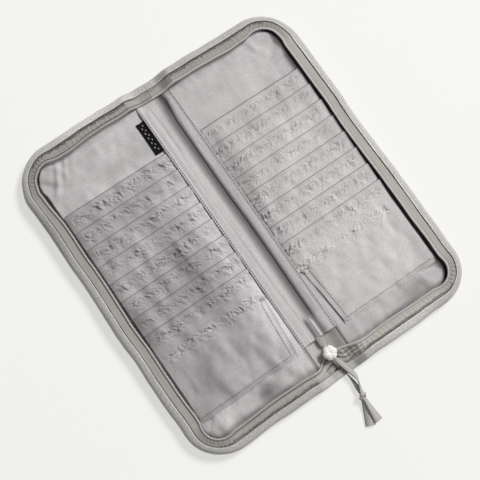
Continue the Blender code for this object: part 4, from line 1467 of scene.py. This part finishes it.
def prism(name, outline, low, high, material, bevel=0.25):
    """An upright plate with softened edges."""
    work = bmesh.new()
    face = work.faces.new([work.verts.new((x * MM, y * MM, low * MM)) for x, y in outline])
    raised = bmesh.ops.extrude_face_region(work, geom=[face])["geom"]
    for item in raised:
        if isinstance(item, bmesh.types.BMVert):
            item.co.z = high * MM
    bmesh.ops.bevel(work, geom=list(work.edges), offset=bevel * MM, segments=2, affect="EDGES",
                    profile=0.6)
    bmesh.ops.recalc_face_normals(work, faces=work.faces)
    mesh = bpy.data.meshes.new(name)
    work.to_mesh(mesh)
    work.free()
    mesh.uv_layers.new(name="UVMap")
    mesh.materials.append(material)
    made = bpy.data.objects.new(name, mesh)
    bpy.context.scene.collection.objects.link(made)
    return made


def make_slider(materials):
    """Slider: two plates, the wedge that parts the coils, and the bail that holds the link."""
    rear, front = SLIDER_Y
    metal = materials["metal"]
    plate = [(-2.9, rear), (2.9, rear), (4.0, rear + 3.5), (3.6, front - 2), (2.4, front),
             (-2.4, front), (-3.6, front - 2), (-4.0, rear + 3.5)]
    wedge = [(-1.1, rear + 0.4), (1.1, rear + 0.4), (0.7, rear + 2.7), (-0.7, rear + 2.7)]
    parts = [prism("slider_lower_plate", plate, *LOWER_PLATE_Z, metal),
             prism("slider_upper_plate", plate, *UPPER_PLATE_Z, metal),
             prism("slider_wedge", wedge, *WEDGE_Z, metal, bevel=0.15)]
    finish(join("slider_plates", parts), "slider", "slider_metal", "slider_body")
    turn = np.linspace(0, math.pi, 15)
    arch = np.column_stack([0 * turn, BAIL_Y - 0.3 + BAIL_HALF_LENGTH * np.cos(turn),
                            BAIL_FOOT_Z + BAIL_RISE * np.sin(turn)])
    finish(tube("slider_arch", arch, BAIL_RADIUS, metal), "slider", "slider_metal", "slider_bail")


def make_link(materials):
    """Wire link: a loop through the bail, a little narrower at the bead's end."""
    turn = np.linspace(0, 2 * math.pi, 48, endpoint=False)
    middle = (BAIL_Y + LINK_END_Y) / 2 + LINK_OVERLAP
    half = (BAIL_Y - LINK_END_Y) / 2 + LINK_OVERLAP
    loop = np.column_stack([LINK_HALF_WIDTH * np.sin(turn) * (1 - 0.25 * np.cos(turn)),
                            middle + half * np.cos(turn), LINK_Z + 0 * turn])
    link = tube("link_wire", loop, LINK_WIRE_RADIUS, materials["metal"], closed=True)
    finish(link, "puller", "slider_metal", "puller_link")


def make_bead(materials):
    """Carved flower bead: six pointed petals round a small hole."""
    turn = np.linspace(0, 2 * math.pi, BEAD_SPOKES, endpoint=False)[None, :]
    share = np.linspace(0, 1, BEAD_RINGS)[:, None]
    petal = np.abs(np.cos(turn * BEAD_LOBES / 2 + 0.35)) ** 0.8
    rim = BEAD_RADIUS * (0.89 + 0.11 * petal)
    radius = BEAD_HOLE + share * (rim - BEAD_HOLE)
    flank = 1 - share ** 10
    dome = BEAD_HEIGHT * (1 - share ** 4) * (1 - 0.35 * (1 - share) ** 2)
    carve = BEAD_CARVING * share * ((1 - petal) ** 2 - 0.36 * np.sin(share * 15 + petal * 4))
    vein = BEAD_VEIN * np.cos(turn * BEAD_LOBES * 3 + share * 3) * bump(share, 0.65, 0.28)
    x, y = radius * np.cos(turn), radius * np.sin(turn)
    upper = np.stack([x, y, (dome - carve + vein) * flank], -1)
    lower = np.stack([x, y, -BEAD_UNDERSIDE * dome * flank + 0 * x], -1)[::-1]
    rings = np.vstack([upper, lower[1:]])
    bead = new_object("carved_flower", rings.reshape(-1, 3) + np.array(BEAD_CENTRE),
                      ring_faces(len(rings), BEAD_SPOKES, closed=True), materials["bead"])
    face_outwards(bead)
    finish(bead, "puller", "carved_bead", "flower_bead")


def strand(name, stations, material, thickness=0.45, fold=0.0, columns=11, count=60):
    """A narrow strip of cloth. Each station is x, y, z, half width and tilt in degrees."""
    line = curve_through(stations, count)
    middle, half, tilt = line[:, :3], line[:, 3], np.radians(line[:, 4])
    ahead = np.gradient(middle, axis=0)
    ahead /= np.linalg.norm(ahead, axis=1, keepdims=True)
    level = np.cross(ahead, (0, 0, 1.0))
    level /= np.linalg.norm(level, axis=1, keepdims=True)
    upright = np.cross(level, ahead)
    across = level * np.cos(tilt)[:, None] + upright * np.sin(tilt)[:, None]
    facing = np.cross(across, ahead)
    share = np.linspace(-1, 1, columns)[None, :, None]
    points = middle[:, None] + across[:, None] * half[:, None, None] * share
    points = points + facing[:, None] * fold * (1 - share ** 2) * half[:, None, None]
    run = walk(middle)
    uv = np.stack([np.broadcast_to(run[:, None], (count, columns)),
                   np.broadcast_to(share[None, 0, :, 0] * 4, (count, columns))], -1)
    # The strand's edges are painted darker, as shade
    return closed_sheet(name, points, thickness, material, uv=uv,
                        shade=1 - 0.62 * np.abs(share[:, :, 0]) ** 3)


def make_ribbon(materials):
    """Cloth ribbon through the link: two strands, a knot and a flared tail."""
    cloth = materials["ribbon"]
    strands = [strand(name, stations, cloth, fold=fold)
               for name, (fold, stations) in RIBBON_STRANDS.items()]
    turn = np.linspace(0, 2 * math.pi, KNOT_POINTS, endpoint=False)
    around = np.column_stack([np.cos(turn), np.sin(turn), np.sin(turn)]) * KNOT_REACH
    around[:, 1] += KNOT_SKEW * np.cos(turn)
    knot = tube("ribbon_knot", around + KNOT_CENTRE, KNOT_RADIUS + 0.2 * np.sin(turn * 5), cloth,
                sides=12, closed=True)
    lobe_line = curve_through(KNOT_LOBE, LOBE_POINTS)
    lobe_radius = np.interp(np.linspace(0, 1, LOBE_POINTS), (0, 0.5, 1), LOBE_RADII)
    lobe = tube("ribbon_knot_lobe", lobe_line, lobe_radius, cloth, sides=10)
    ribbon = join("pull_ribbon_cloth", [*strands[:2], knot, lobe, *strands[2:]])
    finish(ribbon, "ribbon", "ribbon_cloth", "pull_ribbon")


# ---------------------------------------------------------------- label

def label_height(x, y):
    """The label lies on the lining and climbs to the strip's hem."""
    return LINING_Z + 1.5 + 1.0 * ramp(x, -23, -18.4) + 0.12 * rumple(x / 4, y / 8, 5)


def make_label(materials):
    """Black woven label with a plain pattern of lozenges in place of any words."""
    x, y = np.meshgrid(np.linspace(*LABEL_X, 16), np.linspace(*LABEL_Y, 40))
    label = closed_sheet("woven_label_cloth", np.stack([x, y, label_height(x, y)], -1),
                         LABEL_THICKNESS, materials["label"])
    finish(label, "left_cover", "label_cloth", "woven_label")
    motif_y = np.arange(LABEL_Y[0] + 4, LABEL_Y[1] - 2.5, LOZENGE_PITCH)
    motif_x = np.where(np.arange(len(motif_y)) % 2, *LOZENGE_X)
    centres = np.column_stack([motif_x, motif_y, label_height(motif_x, motif_y) + 0.06])
    along = np.tile((0.0, 1.0, 0.0), (len(motif_y), 1))
    finish(grains("label_lozenges", centres, along, LOZENGE_SIZE, materials["motif"]), "left_cover",
           "label_cloth")


# ---------------------------------------------------------------- closed end of the zipper

def make_tail(materials):
    """Zipper tail beyond the slider: a short length of closed teeth, ended by a stitched tab."""
    y = np.arange(*TAIL_TEETH_Y, TAIL_TOOTH_PITCH)
    centres = np.column_stack([0 * y + TAIL_X, y, 0 * y + 3.7])
    along = np.tile((1.0, 0.0, 0.0), (len(y), 1))
    teeth = grains("tail_teeth", centres, along, TAIL_TOOTH_SIZE, materials["right coil"])
    finish(teeth, "spine", "zipper_coil", "zipper_tail")
    x, y = np.meshgrid(np.linspace(*TAIL_TAB_X, 14), np.linspace(*TAIL_TAB_Y, 18))
    z = 3.3 + 0.5 * bump(x, TAIL_X, 2.2) + 0.5 * ramp(-y, 120, 122)
    tab = closed_sheet("tail_tab", np.stack([x, y, z], -1), TAIL_TAB_THICKNESS, materials["tape"])
    finish(tab, "spine", "zipper_tape", "zipper_tail_tab")
    for k, row_x in enumerate(TAIL_SEAMS_X):
        line = [(row_x, row_y, 3.65) for row_y in np.linspace(-129, -121, 12)]
        row = stitch_line(f"tail_stitches_{k + 1}", line, materials["dark thread"], *TAIL_STITCH)
        finish(row, "spine", "zipper_tape")


# ---------------------------------------------------------------- the room

def make_floor(materials):
    """Pale floor just under the case."""
    corners = FLOOR_HALF_SIZE * np.array([(-1, -1, 0), (1, -1, 0), (1, 1, 0), (-1, 1, 0)])
    floor = new_object("floor", corners, [(0, 1, 2, 3)], materials["floor"])
    floor.location.z = -FLOOR_DROP * MM


def make_lights():
    """One large soft lamp aimed at the case, and an even glow from all round."""
    lamp = bpy.data.lights.new("key softbox", "AREA")
    lamp.shape = "DISK"
    lamp.size = KEY_SIZE
    lamp.energy = KEY_POWER
    lamp.color = KEY_COLOUR
    softbox = bpy.data.objects.new("key softbox", lamp)
    softbox.location = KEY_PLACE
    softbox.rotation_euler = (-Vector(KEY_PLACE)).to_track_quat("-Z", "Y").to_euler()
    bpy.context.scene.collection.objects.link(softbox)
    world = bpy.data.worlds.new("white room")
    world.use_nodes = True
    background = world.node_tree.nodes["Background"]
    background.inputs["Color"].default_value = (1.0, 1.0, 1.0, 1.0)
    background.inputs["Strength"].default_value = ROOM_GLOW
    bpy.context.scene.world = world


def make_camera():
    """Camera that looks down at the case from the lower right, rolled to the left."""
    azimuth, elevation = math.radians(CAMERA_AZIMUTH), math.radians(CAMERA_ELEVATION)
    forward = Vector((-math.sin(azimuth) * math.cos(elevation), math.cos(azimuth) * math.cos(elevation),
                      -math.sin(elevation)))
    level = forward.cross(Vector((0, 0, 1))).normalized()
    upright = level.cross(forward)
    roll = math.radians(CAMERA_ROLL)
    right = level * math.cos(roll) + upright * math.sin(roll)
    top = right.cross(forward)
    place = Vector(CAMERA_TARGET) * MM - forward * CAMERA_DISTANCE * MM
    camera = bpy.data.objects.new("camera", bpy.data.cameras.new("camera"))
    camera.data.lens = CAMERA_LENS
    camera.data.sensor_width = SENSOR_WIDTH
    turned = Matrix((right, top, -forward)).transposed().to_4x4()
    camera.matrix_world = Matrix.Translation(place) @ turned
    bpy.context.scene.collection.objects.link(camera)
    bpy.context.scene.camera = camera


def build():
    """Makes every piece, the room and the camera."""
    materials = make_materials()
    for side_name in SIDES:
        make_shell(side_name, materials)
        make_padding(side_name, materials)
        make_lining(side_name, materials)
        make_backing(side_name, materials)
        for index in range(POCKET_COUNT):
            make_pocket(side_name, index, materials)
        make_strip_half(side_name, materials)
        make_tape(side_name, materials)
        make_seam_shadow_grains(side_name, materials)
        make_coil(side_name, materials)
        make_spine_patch(side_name, materials)
    make_slider(materials)
    make_link(materials)
    make_bead(materials)
    make_ribbon(materials)
    make_label(materials)
    make_tail(materials)
    make_floor(materials)
    make_lights()
    make_camera()
    bpy.context.scene.view_settings.view_transform = "Standard"


build()
